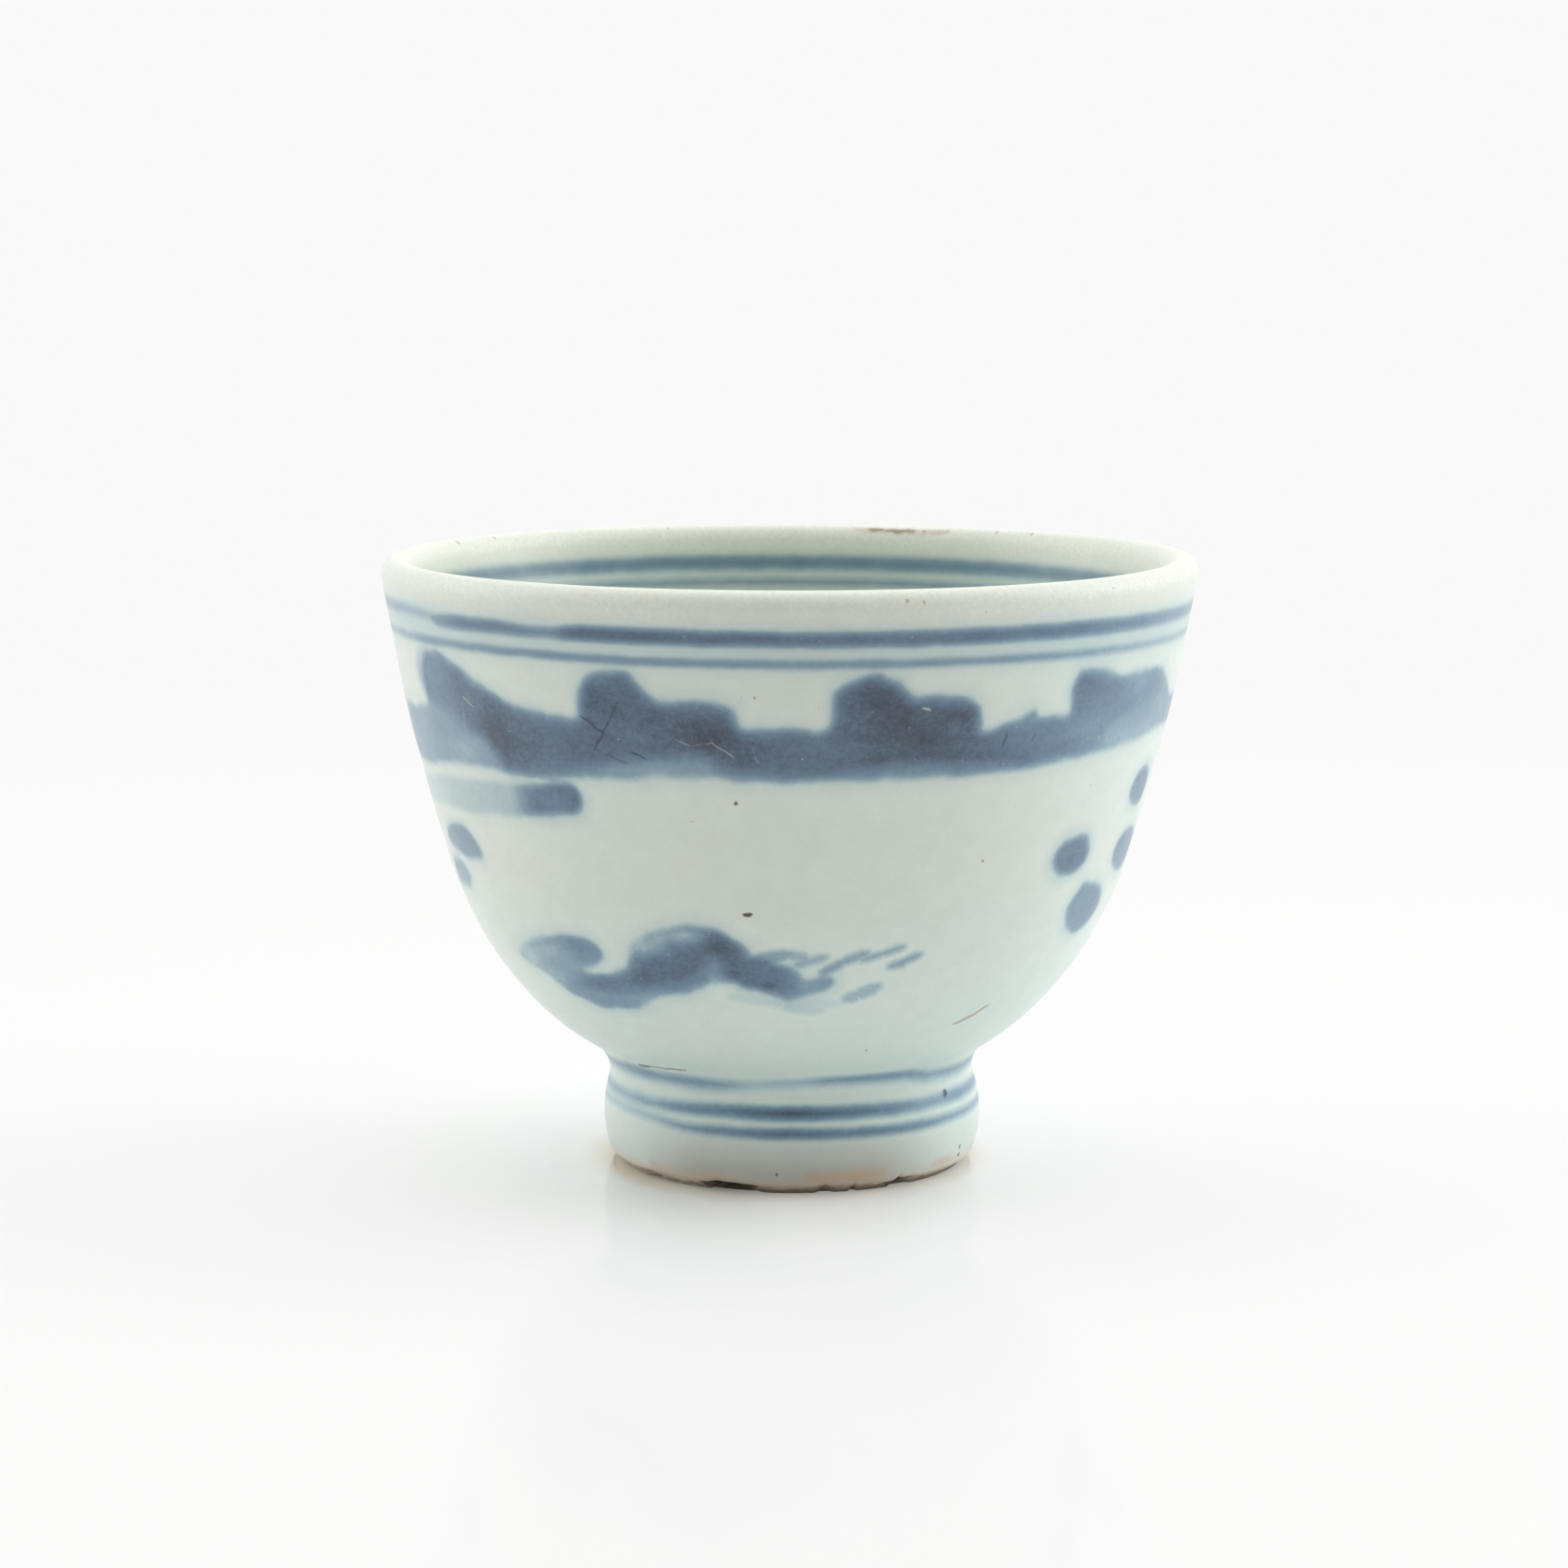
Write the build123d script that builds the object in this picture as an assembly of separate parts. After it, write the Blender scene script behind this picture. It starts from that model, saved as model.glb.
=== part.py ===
from build123d import *

import os
from math import atan2, cos, degrees, hypot, radians, sin

# A small blue-and-white porcelain teacup: a round bowl on a foot ring, with no handle.
#
# Frame: millimetres, +Z up. The origin is the centre of the foot ring on the plane
# that the cup rests on, and Z is the axis on which the cup was thrown.
# Angles are degrees round the cup from the front (-Y), growing towards +X.
#
# The cup is built in layers, in the order in which it is made: the paste body, the
# cobalt painted on it, and the glaze that closes over the painting. Each cobalt
# mark fills a pocket in the under side of the glaze, so no two pieces overlap.

# ---- driving dimensions ----
RIM_RADIUS = 32.0
WALL = 2.4  # thickness of the bowl's wall; the lip is its half round
FOOT_RADIUS = 15.0  # widest part of the foot ring
WAIST_RADIUS = 14.6  # where the foot ring meets the bowl
WAIST_HEIGHT = 6.4
REST_OUTER = 13.6  # the bare edge that the cup stands on
REST_INNER = 12.3
GLAZE_EDGE = 0.6  # the glaze stops this far above the resting plane
EDGE_RADIUS = 14.45  # outside of the foot ring there, over its bare bevel
FLOOR_HEIGHT = 10.0  # inside of the bowl at its centre
RECESS_RADIUS = 11.7
RECESS_DEPTH = 5.0  # the hollow under the cup

GLAZE = 0.3
COBALT = 0.1
CUTTER_START = 10.0  # cutters for the painting run from here, out through the wall
CUTTER_END = RIM_RADIUS + 5.0

# ---- cross-section: (radius, height) ends of the arcs of the glazed surfaces ----
FOOT_RING = [(EDGE_RADIUS, GLAZE_EDGE), (FOOT_RADIUS, 3.4), (WAIST_RADIUS, WAIST_HEIGHT)]
BOWL_SHOULDER = (22.4, 16.0)  # the wall has one thickness from here up to the lip
BOWL_OUTSIDE = [(15.8, 9.7), BOWL_SHOULDER, (26.7, 24.8), (29.9, 36.6), (31.98, 46.6)]
FLOOR_BEND = (11.0, 11.1)
RECESS = [(9.4, RECESS_DEPTH - 0.1), (11.3, 3.2), (RECESS_RADIUS, GLAZE_EDGE)]

# ---- painted ring lines: (height, width) ----
RIM_LINE_WIDE = (44.6, 1.0)
RIM_LINE_NARROW = (42.8, 0.6)
INSIDE_LINE_WIDE = (44.9, 1.0)
INSIDE_LINE_NARROW = (43.25, 0.6)
FOOT_LINE_UPPER = (9.0, 0.9)
FOOT_LINE_MIDDLE = (6.4, 0.8)
FOOT_LINE_LOWER = (4.9, 0.6)

# ---- painted shoreline: a band all round, with hills that rise from it ----
BAND_BOTTOM = 34.3
BAND_TOP = 38.0
HILL_FOOT = BAND_BOTTOM + 0.5
HILL_CORNER = 2.2
HILLS = [  # (angle, half width, height of the top)
    (-59, 2.7, 42.0),
    (-50, 3.6, 40.6),
    (-25, 2.3, 41.9),
    (-14, 3.4, 39.9),
    (11, 2.7, 41.9),
    (20, 3.6, 40.3),
    (47, 2.6, 41.6),
    (58, 4.6, 40.7),
    (97, 2.6, 41.8),
    (107, 3.4, 40.1),
    (140, 2.5, 41.7),
    (149, 3.8, 40.2),
    (181, 2.7, 41.9),
    (191, 3.5, 40.4),
    (222, 2.4, 41.6),
    (231, 3.6, 40.0),
    (262, 2.7, 41.8),
    (271, 3.6, 40.2),
]

# ---- painted strokes: a width, then the (angle, height) places that the brush passes ----
SANDBARS = [
    (2.3, [(-34, 32.0), (-52, 31.3), (-74, 30.6)]),
    (2.2, [(118, 31.2), (136, 31.9), (152, 32.2)]),
]
ISLETS = [
    (2.3, [(-52, 18.9), (-37, 20.1)]),
    (2.4, [(-52, 18.3), (-38, 16.6), (-28, 17.2), (-19, 18.8)]),
    (2.6, [(-23, 20.0), (-14, 21.4), (-9, 20.6)]),
    (2.2, [(-10, 20.0), (-4, 18.6), (5, 18.4)]),
    (2.2, [(158, 18.6), (170, 17.2), (182, 17.4), (192, 19.2)]),
    (2.4, [(186, 19.8), (194, 21.2), (200, 20.4)]),
    (2.0, [(199, 19.8), (206, 18.6), (214, 18.4)]),
]
REEDS = [
    (0.7, [(-1, 20.9), (3, 20.6), (6, 20.7)]),
    (0.6, [(7, 19.9), (12.5, 20.7), (19, 21.2)]),
    (0.6, [(18, 19.9), (23, 20.5)]),
    (0.9, [(11.5, 17.2), (15.5, 18.0)]),
    (0.6, [(211, 20.6), (217, 21.2), (222, 21.6)]),
    (0.6, [(220, 20.2), (226, 20.8)]),
    (0.9, [(219, 17.4), (223, 18.2)]),
]
LEAVES = [  # (angle, height, width, tall)
    (51, 27.0, 5.2, 3.2),
    (61, 22.3, 5.6, 4.2),
    (71.5, 31.3, 5.6, 3.2),
    (72.5, 26.1, 5.6, 3.2),
    (84, 22.6, 4.6, 3.4),
    (-64, 27.1, 5.8, 2.8),
    (-72, 24.1, 5.2, 2.3),
    (-85, 27.6, 5.0, 2.8),
    (238, 26.6, 5.2, 3.2),
    (249, 22.4, 5.2, 3.8),
]


# ---- curves of the cross-section, in the XZ plane ----
def smooth(start, direction, ends):
    """Arcs from a start through each end, each one leaving along the one before."""
    arcs = []
    here = Vector(start[0], 0, start[1])
    for radius, height in ends:
        arcs.append(TangentArc(here, (radius, 0, height), tangent=direction))
        here = arcs[-1] @ 1
        direction = arcs[-1] % 1
    return arcs


def left_of(arc, share, distance):
    """The place beside an arc, to the left of its direction, at a share of its length."""
    along = arc % share
    return (arc @ share) + Vector(-along.Z, 0, along.X) * distance


def moved_left(arcs, distance):
    """Each arc of a smooth chain moved sideways, so that it stays concentric."""
    ends = [left_of(arcs[0], 0, distance)]
    ends += [left_of(arc, 1, distance) for arc in arcs]
    middles = [left_of(arc, 0.5, distance) for arc in arcs]
    return [ThreePointArc(*places) for places in zip(ends, middles, ends[1:])]


def swept(outline):
    """The solid that a closed outline sweeps round the cup's axis."""
    return revolve(make_face(outline), Axis.Z)


foot_arc = ThreePointArc(*[(radius, 0, height) for radius, height in FOOT_RING])
bowl_arcs = smooth(FOOT_RING[-1], foot_arc % 1, BOWL_OUTSIDE)
upper_wall = bowl_arcs[BOWL_OUTSIDE.index(BOWL_SHOULDER) + 1 :]
inner_wall = moved_left(upper_wall, WALL)
wall_foot = inner_wall[0] @ 0

outside = [foot_arc] + bowl_arcs
inside = smooth((0, FLOOR_HEIGHT), (1, 0, 0), [FLOOR_BEND, (wall_foot.X, wall_foot.Z)])
inside += inner_wall
recess = smooth((0, RECESS_DEPTH), (1, 0, 0), RECESS)

# the paste lies left of the outside and the recess, and right of the inside
paste_outside = moved_left(outside, GLAZE)
paste_inside = moved_left(inside, -GLAZE)
paste_recess = moved_left(recess, GLAZE)


def half_lip(side, depth):
    """Quarter round from the lip's crest down to the outer (1) or the inner (-1) wall."""
    top = outside[-1] @ 1
    upward = outside[-1] % 1
    across = Vector(upward.Z, 0, -upward.X)
    centre = top - across * (WALL / 2)
    radius = WALL / 2 - depth
    slant = (upward + across * side).normalized()
    return ThreePointArc(
        centre + upward * radius, centre + slant * radius, centre + across * side * radius
    )


# ---- the paste body: bowl, floor and foot ring in one piece of clay ----
def make_porcelain_body():
    rest_outer = (REST_OUTER, 0, 0)
    rest_inner = (REST_INNER, 0, 0)
    axis = Line(paste_recess[0] @ 0, paste_inside[0] @ 0)
    inner_bevel = Line(paste_recess[-1] @ 1, rest_inner)
    outer_bevel = Line(rest_outer, paste_outside[0] @ 0)
    resting_edge = Line(rest_inner, rest_outer)
    crest = half_lip(1, GLAZE) @ 0
    lip = ThreePointArc(paste_outside[-1] @ 1, crest, paste_inside[-1] @ 1)
    foot = [inner_bevel, resting_edge, outer_bevel]
    return swept(paste_outside + [lip] + paste_inside + [axis] + paste_recess + foot)


# ---- coats on the body: glaze, and the thin space that cobalt can fill ----
def wall_coat(surface, paste, side):
    """Glaze on the outer (1) or the inner (-1) wall, up to the crest of the lip."""
    lip_surface = half_lip(side, 0)
    lip_paste = half_lip(side, GLAZE)
    crest = Line(lip_surface @ 0, lip_paste @ 0)
    end = Line(surface[0] @ 0, paste[0] @ 0)
    return swept(surface + [lip_surface, crest, lip_paste] + paste + [end])


def recess_coat():
    """Glaze in the hollow of the foot ring."""
    axis = Line(recess[0] @ 0, paste_recess[0] @ 0)
    edge = Line(recess[-1] @ 1, paste_recess[-1] @ 1)
    return swept(recess + [edge] + paste_recess + [axis])


def paint_space(paste, side):
    """The layer on the paste that the painting can fill, as thick as the cobalt."""
    top = moved_left(paste, -side * COBALT)
    low_end = Line(paste[0] @ 0, top[0] @ 0)
    high_end = Line(paste[-1] @ 1, top[-1] @ 1)
    return swept(paste + [high_end] + top + [low_end])


# ---- cutters: each brush mark is the part of a paint space inside its cutter ----
def radius_at(height):
    """Outside radius of the bowl at a height, straight between the ends of its arcs."""
    for (low_radius, low), (high_radius, high) in zip(BOWL_OUTSIDE, BOWL_OUTSIDE[1:]):
        if height <= high:
            return low_radius + (high_radius - low_radius) * (height - low) / (high - low)
    return RIM_RADIUS


def through_wall(angle, shape):
    """A flat shape, drawn facing out at an angle, pushed out through the wall."""
    turn = radians(angle)
    outward = Vector(sin(turn), -cos(turn), 0)
    along = Vector(cos(turn), sin(turn), 0)
    plane = Plane(origin=outward * CUTTER_START, x_dir=along, z_dir=outward)
    return extrude(plane * shape, CUTTER_END - CUTTER_START)


def ring_line(line):
    height, width = line
    return Pos(0, 0, height) * Cylinder(CUTTER_END, width)


def strokes(group):
    """Round-ended runs of the brush, from place to place of each stroke."""
    runs = Part()
    for width, places in group:
        for (angle0, z0), (angle1, z1) in zip(places, places[1:]):
            half_turn = radians((angle1 - angle0) / 2)
            x0 = -radius_at(z0) * sin(half_turn)
            x1 = radius_at(z1) * sin(half_turn)
            slope = degrees(atan2(z1 - z0, x1 - x0))
            run = SlotCenterToCenter(hypot(x1 - x0, z1 - z0), width, rotation=slope)
            middle = Pos((x0 + x1) / 2, (z0 + z1) / 2)
            runs += through_wall((angle0 + angle1) / 2, middle * run)
    return runs


def leaves(group):
    marks = Part()
    for angle, height, width, tall in group:
        marks += through_wall(angle, Pos(0, height) * Ellipse(width / 2, tall / 2))
    return marks


def shoreline():
    """The band with its hills: upright shapes with round corners that stand in the band."""
    height = BAND_TOP - BAND_BOTTOM
    shape = Pos(0, 0, BAND_BOTTOM + height / 2) * Cylinder(CUTTER_END, height)
    for angle, half_width, top in HILLS:
        hill = RectangleRounded(2 * half_width, top - HILL_FOOT, HILL_CORNER)
        shape += through_wall(angle, Pos(0, (top + HILL_FOOT) / 2) * hill)
    return shape


# ---- all pieces ----
outside_space = paint_space(paste_outside, 1)
inside_space = paint_space(paste_inside, -1)

outside_painting = {
    "rim_line_wide": ring_line(RIM_LINE_WIDE),
    "rim_line_narrow": ring_line(RIM_LINE_NARROW),
    "shoreline_band": shoreline(),
    "sandbar_strokes": strokes(SANDBARS),
    "islet_strokes": strokes(ISLETS),
    "reed_strokes": strokes(REEDS),
    "leaf_dabs": leaves(LEAVES),
    "foot_line_upper": ring_line(FOOT_LINE_UPPER),
    "foot_line_middle": ring_line(FOOT_LINE_MIDDLE),
    "foot_line_lower": ring_line(FOOT_LINE_LOWER),
}
inside_painting = {
    "inside_line_wide": ring_line(INSIDE_LINE_WIDE),
    "inside_line_narrow": ring_line(INSIDE_LINE_NARROW),
}

pieces = {"porcelain_body": make_porcelain_body()}
outside_glaze = wall_coat(outside, paste_outside, 1)
inside_glaze = wall_coat(inside, paste_inside, -1)
for name, cutter in outside_painting.items():
    pieces[name] = outside_space & cutter
    outside_glaze -= pieces[name]
for name, cutter in inside_painting.items():
    pieces[name] = inside_space & cutter
    inside_glaze -= pieces[name]
pieces["outside_glaze"] = outside_glaze
pieces["inside_glaze"] = inside_glaze
pieces["base_glaze"] = recess_coat()

os.makedirs("parts", exist_ok=True)
for name, piece in pieces.items():
    export_step(piece, os.path.join("parts", name + ".step"))
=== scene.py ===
import math

import bpy
import numpy as np
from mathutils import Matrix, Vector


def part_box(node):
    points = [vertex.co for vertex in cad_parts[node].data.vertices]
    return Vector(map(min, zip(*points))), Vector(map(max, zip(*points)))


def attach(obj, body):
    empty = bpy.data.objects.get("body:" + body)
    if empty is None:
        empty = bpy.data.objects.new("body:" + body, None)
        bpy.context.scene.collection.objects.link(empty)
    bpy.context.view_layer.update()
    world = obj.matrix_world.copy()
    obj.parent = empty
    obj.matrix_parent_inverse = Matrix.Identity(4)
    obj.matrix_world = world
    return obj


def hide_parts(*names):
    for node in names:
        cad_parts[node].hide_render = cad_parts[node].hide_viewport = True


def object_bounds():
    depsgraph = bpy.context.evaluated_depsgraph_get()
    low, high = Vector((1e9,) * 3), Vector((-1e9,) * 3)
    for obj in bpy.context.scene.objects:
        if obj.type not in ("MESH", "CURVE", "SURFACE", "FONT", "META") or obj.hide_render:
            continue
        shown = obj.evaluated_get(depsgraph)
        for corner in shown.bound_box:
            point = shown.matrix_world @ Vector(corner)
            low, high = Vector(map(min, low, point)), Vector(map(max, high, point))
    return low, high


# A small blue-and-white porcelain teacup, dressed over its CAD layers: the paste body with
# its bare foot edge, and the glaze outside, inside and in the foot's hollow. The cobalt
# painting lies in the glaze, so it belongs to the materials of the glaze.
#
# Lengths are millimetres of a cup with a rim radius of 32; MM turns them into metres.
# Angles are degrees round the cup from the front (-Y), growing towards +X.

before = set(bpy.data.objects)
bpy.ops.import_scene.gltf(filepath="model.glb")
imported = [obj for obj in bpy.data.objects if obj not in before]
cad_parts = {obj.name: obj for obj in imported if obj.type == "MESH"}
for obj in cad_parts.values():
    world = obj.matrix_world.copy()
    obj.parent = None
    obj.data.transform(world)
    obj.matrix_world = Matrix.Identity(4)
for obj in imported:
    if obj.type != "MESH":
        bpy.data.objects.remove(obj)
cad_low, cad_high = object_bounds()

RIM = 32.0
MM = (cad_high.x - cad_low.x) / 2 / RIM
HEIGHT = cad_high.z / MM
WALL = 2.4
GLAZE = 0.3


def line_of(node):
    """(height, half width) of a painted ring line, from its CAD node."""
    low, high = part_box(node)
    return (low.z + high.z) / 2 / MM, (high.z - low.z) / 2 / MM


# ---- the cross-section, as (radius, height) ends of arcs that follow on smoothly ----
FOOT_RING = [(14.45, 0.6), (15.0, 3.4), (14.6, 6.4)]
BOWL = [(15.8, 9.7), (22.4, 16.0), (26.7, 24.8), (29.9, 36.6), (31.98, 46.6)]
SHOULDER = 1  # the wall has one thickness above this end of the bowl's arcs
FLOOR = [(0.0, 10.0), (11.0, 11.1)]
RECESS = [(0.0, 5.0), (9.4, 4.9), (11.3, 3.2), (11.7, 0.6)]
REST = [(12.3, 0.0), (13.6, 0.0)]


def arc(start, direction, end):
    """Points of the arc that leaves start in a direction and reaches end, and its last direction."""
    start, end = np.array(start, float), np.array(end, float)
    left = np.array([-direction[1], direction[0]])
    chord = end - start
    bend = 2 * (chord @ left) / (chord @ chord)
    centre = start + left / bend
    turn = 2 * math.atan2(chord @ left, chord @ direction)
    sweep = np.linspace(0, turn, max(8, int(abs(turn / bend) / 0.03)))[:, None]
    spoke = start - centre
    points = centre + spoke * np.cos(sweep) + np.array([-spoke[1], spoke[0]]) * np.sin(sweep)
    return points, direction * math.cos(turn) + left * math.sin(turn)


def chain(start, direction, ends):
    """Arcs from a start through each end, and the last direction."""
    runs = []
    for end in ends:
        run, direction = arc(start, direction, end)
        runs.append(run)
        start = end
    return runs, direction


def first_direction(a, b, c):
    """The direction in which the arc through three points starts."""
    a, b, c = np.array(a), np.array(b), np.array(c)
    sides = np.array([b @ b - a @ a, c @ c - a @ a]) / 2
    centre = np.linalg.solve(np.stack([b - a, c - a]), sides)
    spoke = (a - centre) / np.linalg.norm(a - centre)
    return np.array([-spoke[1], spoke[0]])


def joined(runs):
    """One path from several that meet end to end, with no point twice."""
    path = np.vstack(runs)
    apart = np.linalg.norm(np.diff(path, axis=0), axis=1) > 1e-6
    return path[np.concatenate([[True], apart])]


def outward(path):
    """Unit vectors to the right of a path, which is the side of the air."""
    along = np.gradient(path, axis=0)
    along /= np.linalg.norm(along, axis=1)[:, None]
    return np.stack([along[:, 1], -along[:, 0]], axis=1)


def lengths(path):
    steps = np.linalg.norm(np.diff(path, axis=0), axis=1)
    return np.concatenate([[0], np.cumsum(steps)])


def glazed_wall():
    """The glazed surface up the outside, over the lip and down to the floor, and its crest."""
    foot, up = chain(FOOT_RING[0], first_direction(*FOOT_RING), FOOT_RING[2:])
    bowl, up = chain(FOOT_RING[2], up, BOWL)
    upper = joined(bowl[SHOULDER + 1 :])
    inner = (upper - outward(upper) * WALL)[::-1]
    across = np.array([up[1], -up[0]])
    turn = np.linspace(0, math.pi, 201)[:, None]
    spokes = across * np.cos(turn) + up * np.sin(turn)
    lip = upper[-1] + (spokes - across) * WALL / 2
    floor, _ = chain(FLOOR[0], np.array([1.0, 0.0]), [FLOOR[1], inner[-1]])
    path = joined(foot + bowl + [lip, inner, joined(floor)[::-1]])
    crest = lengths(joined(foot + bowl))[-1] + WALL / 2 * math.pi / 2
    return path, crest


WALL_PATH, CREST = glazed_wall()
WALL_PLACES = lengths(WALL_PATH)
WALL_END = WALL_PLACES[-1]
RECESS_PATH = joined(chain(RECESS[0], np.array([1.0, 0.0]), RECESS[1:])[0])
RECESS_PLACES = lengths(RECESS_PATH)
UP_WALL = WALL_PLACES <= CREST


def up_to(height):
    """Length along the outside, from the foot, up to a height."""
    return np.interp(height, WALL_PATH[UP_WALL, 1], WALL_PLACES[UP_WALL])


def radius_at(height):
    return np.interp(height, WALL_PATH[UP_WALL, 1], WALL_PATH[UP_WALL, 0])


def on_path(path, places, inset=0.0):
    """(radius, height) at lengths along a path, some way in under its surface."""
    along = lengths(path)
    side = outward(path)
    moved = path - side * inset
    return np.stack([np.interp(places, along, moved[:, k]) for k in (0, 1)], axis=-1)


# ---- the hand in the clay ----
def wave(angle, seed, first, last):
    """A random even wave round the cup, between -1 and 1, with first to last waves a turn."""
    chance = np.random.default_rng(seed)
    total = 0.0
    for count in range(first, last):
        total = total + chance.normal() * np.sin(np.radians(angle * count) + chance.uniform(0, 6.3))
    return total / math.sqrt(last - first) / 1.6


def near(angle, centre, spread):
    """1 at an angle, falling to 0 within a spread on each side."""
    turn = (angle - centre + 180) % 360 - 180
    return np.exp(-((turn / spread) ** 2))


def eased(value, low, high):
    """0 below low, 1 above high, with a soft slope between."""
    share = np.clip((value - low) / (high - low), 0, 1)
    return share * share * (3 - 2 * share)


def placed(angle, radius, height):
    """Metres, in the frame, of points by angle, radius and height: round, but thrown by hand."""
    turn = np.radians(angle)
    up = height / HEIGHT
    oval = 0.10 * up**2 * np.cos(2 * turn - 1.2) + 0.04 * up * np.cos(3 * turn + 1.0)
    bowl = np.clip((height - 11) / 8, 0, 1) * np.clip((46.0 - height) / 4, 0, 1)
    ring = 0.02 * bowl * np.sin(height * 1.15 + 0.5 * np.sin(turn + 0.4))
    full = 0.17 * eased(height, 7, 12) * (1 - eased(height, 35, 43))
    out = radius * (1 + oval / RIM) + (ring + full) * np.clip(radius / 10, 0, 1)
    sway = 0.03 + 0.42 * (1 - eased(height, 5.5, 11.5))
    lean = 0.06 * up**3 * np.sin(2 * turn + 0.8) + 0.40 * up**4 * near(angle, 103, 48)
    points = [out * np.sin(turn) + sway, -out * np.cos(turn), height + lean]
    return np.stack(points, axis=-1) * MM


FOOT_CHIPS = [  # (angle, reach in degrees, depth in mm) of the chips in the foot's edge
    (-23.5, 2.4, 0.36), (-19, 4.0, 0.34), (-13, 2.5, 0.12), (10.5, 2.0, 0.18), (20, 0.8, 0.14),
    (35.3, 1.3, 0.36), (38.5, 2.5, 0.16), (-50, 3, 0.12), (128, 4, 0.26), (214, 5, 0.22),
]


def chipped(angle):
    """How deep the foot's edge is chipped."""
    return sum(depth * near(angle, centre, reach) for centre, reach, depth in FOOT_CHIPS)


def glaze_edge(angle):
    """How far the glaze draws back from its edge at the foot: a little unevenly, and at chips."""
    return chipped(angle) + 0.05 * (1 + wave(angle, 3, 9, 60))


def skin(angle, place):
    """A point of the glazed wall, by angle and length from the foot."""
    drawn = glaze_edge(angle) * np.clip(1 - place / 2.5, 0, 1)
    radius, height = np.moveaxis(on_path(WALL_PATH, np.clip(place + drawn, 0, WALL_END)), -1, 0)
    rolled = 0.14 * np.clip(1 - place / 0.3, 0, 1) ** 2
    return placed(angle, radius - rolled, height)


def added(name, data):
    """A new object in the scene."""
    made = bpy.data.objects.new(name, data)
    bpy.context.scene.collection.objects.link(made)
    return made


# ---- meshes turned on the axis ----
FRONT = np.arange(-90, 90, 0.5)
BACK = np.arange(90, 270, 1.5)
ANGLES = np.concatenate([FRONT, BACK])


def spaced(first, last, spacing, fine=()):
    """Lengths from first to last, closer together near the (place, reach, spacing) of fine."""
    dense = np.linspace(first, last, 4000)
    wanted = np.full_like(dense, spacing)
    for place, reach, closer in fine:
        share = np.clip((np.abs(dense - place) - reach) / (4 * spacing), 0, 1)
        wanted = np.minimum(wanted, closer + (spacing - closer) * share)
    count = np.concatenate([[0], np.cumsum(np.diff(dense) / wanted[1:])])
    rows = max(2, int(round(count[-1])))
    return np.interp(np.linspace(0, count[-1], rows + 1), count, dense)


def at_every_angle(values):
    """The angle and the row's own value at each vertex, row by row."""
    shape = (len(values), len(ANGLES))
    return np.broadcast_to(ANGLES, shape), np.broadcast_to(np.array(values)[:, None], shape)


def grid(rows):
    """(angle, radius, height) of each vertex, from the (radius, height) of each row."""
    rows = np.array(rows)
    angles, radius = at_every_angle(rows[:, 0])
    _, height = at_every_angle(rows[:, 1])
    return angles, radius, height


SEEN_SHARE = 0.44  # of the bake map's height, for the seen rows of each half
HIDDEN_SHARE = 0.03


def mapped_rows(steps, seen):
    """(low, high) of each span of rows in half of the bake map: seen rows get most of it."""
    share = np.where(seen, steps / steps[seen].sum() * SEEN_SHARE, 0.0)
    share = np.where(seen, share, steps / steps[~seen].sum() * HIDDEN_SHARE)
    high = np.cumsum(share)
    lift = np.where(seen, 0.005, 0.012)
    return high - share + lift, high + lift


def turned(name, points, seen_rows):
    """A closed piece from rows of points round the axis. A row that is one point is a pole.
    The rows after seen_rows lie under the surface."""
    count, columns = points.shape[:2]
    pole = np.hypot(points[:, 0, 0] - points[:, columns // 2, 0], points[:, 0, 1]) < 1e-7
    pole &= np.ptp(points[..., 0], axis=1) < 1e-7
    first = np.concatenate([[0], np.cumsum(np.where(pole, 1, columns))])
    vertices = np.vstack([points[k, : 1 if pole[k] else columns] for k in range(count)])
    here = np.arange(columns)
    after = (here + 1) % columns
    side = (here >= len(FRONT)).astype(float)
    start = np.where(side == 0, here / len(FRONT), (here - len(FRONT)) / len(BACK))
    end = np.where(side == 0, (here + 1) / len(FRONT), (here + 1 - len(FRONT)) / len(BACK))
    mean = np.stack([np.hypot(points[..., 0], points[..., 1]).mean(1), points[..., 2].mean(1)], 1)
    steps = np.linalg.norm(np.roll(mean, -1, axis=0) - mean, axis=1)
    low, high = mapped_rows(steps, np.arange(count) < seen_rows - 1)
    faces, corners = [], []
    for k in range(count):
        n = (k + 1) % count
        if pole[k] and pole[n]:
            continue
        a, b = first[k] + here, first[k] + after
        c, d = first[n] + after, first[n] + here
        ends = [(start, low[k]), (end, low[k]), (end, high[k]), (start, high[k])]
        ring = [a, b, c, d]
        if pole[k]:
            ring, ends = [0 * here + first[k], c, d], [ends[0], ends[2], ends[3]]
        if pole[n]:
            ring, ends = [a, b, 0 * here + first[n]], [ends[0], ends[1], ends[3]]
        faces.extend(np.stack(ring, axis=1).tolist())
        uv = [np.stack([u, v + 0.5 * side], axis=1) for u, v in ends]
        corners.append(np.stack(uv, axis=1).reshape(-1, 2))
    mesh = bpy.data.meshes.new(name)
    mesh.from_pydata(vertices.tolist(), [], faces)
    layer = mesh.uv_layers.new(name="OFBake")
    layer.data.foreach_set("uv", np.vstack(corners).astype(np.float32).ravel())
    mesh.shade_smooth()
    return added(name, mesh)


UNDER_STEP = 4  # the under side of a coat has one row for this many on top


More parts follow.
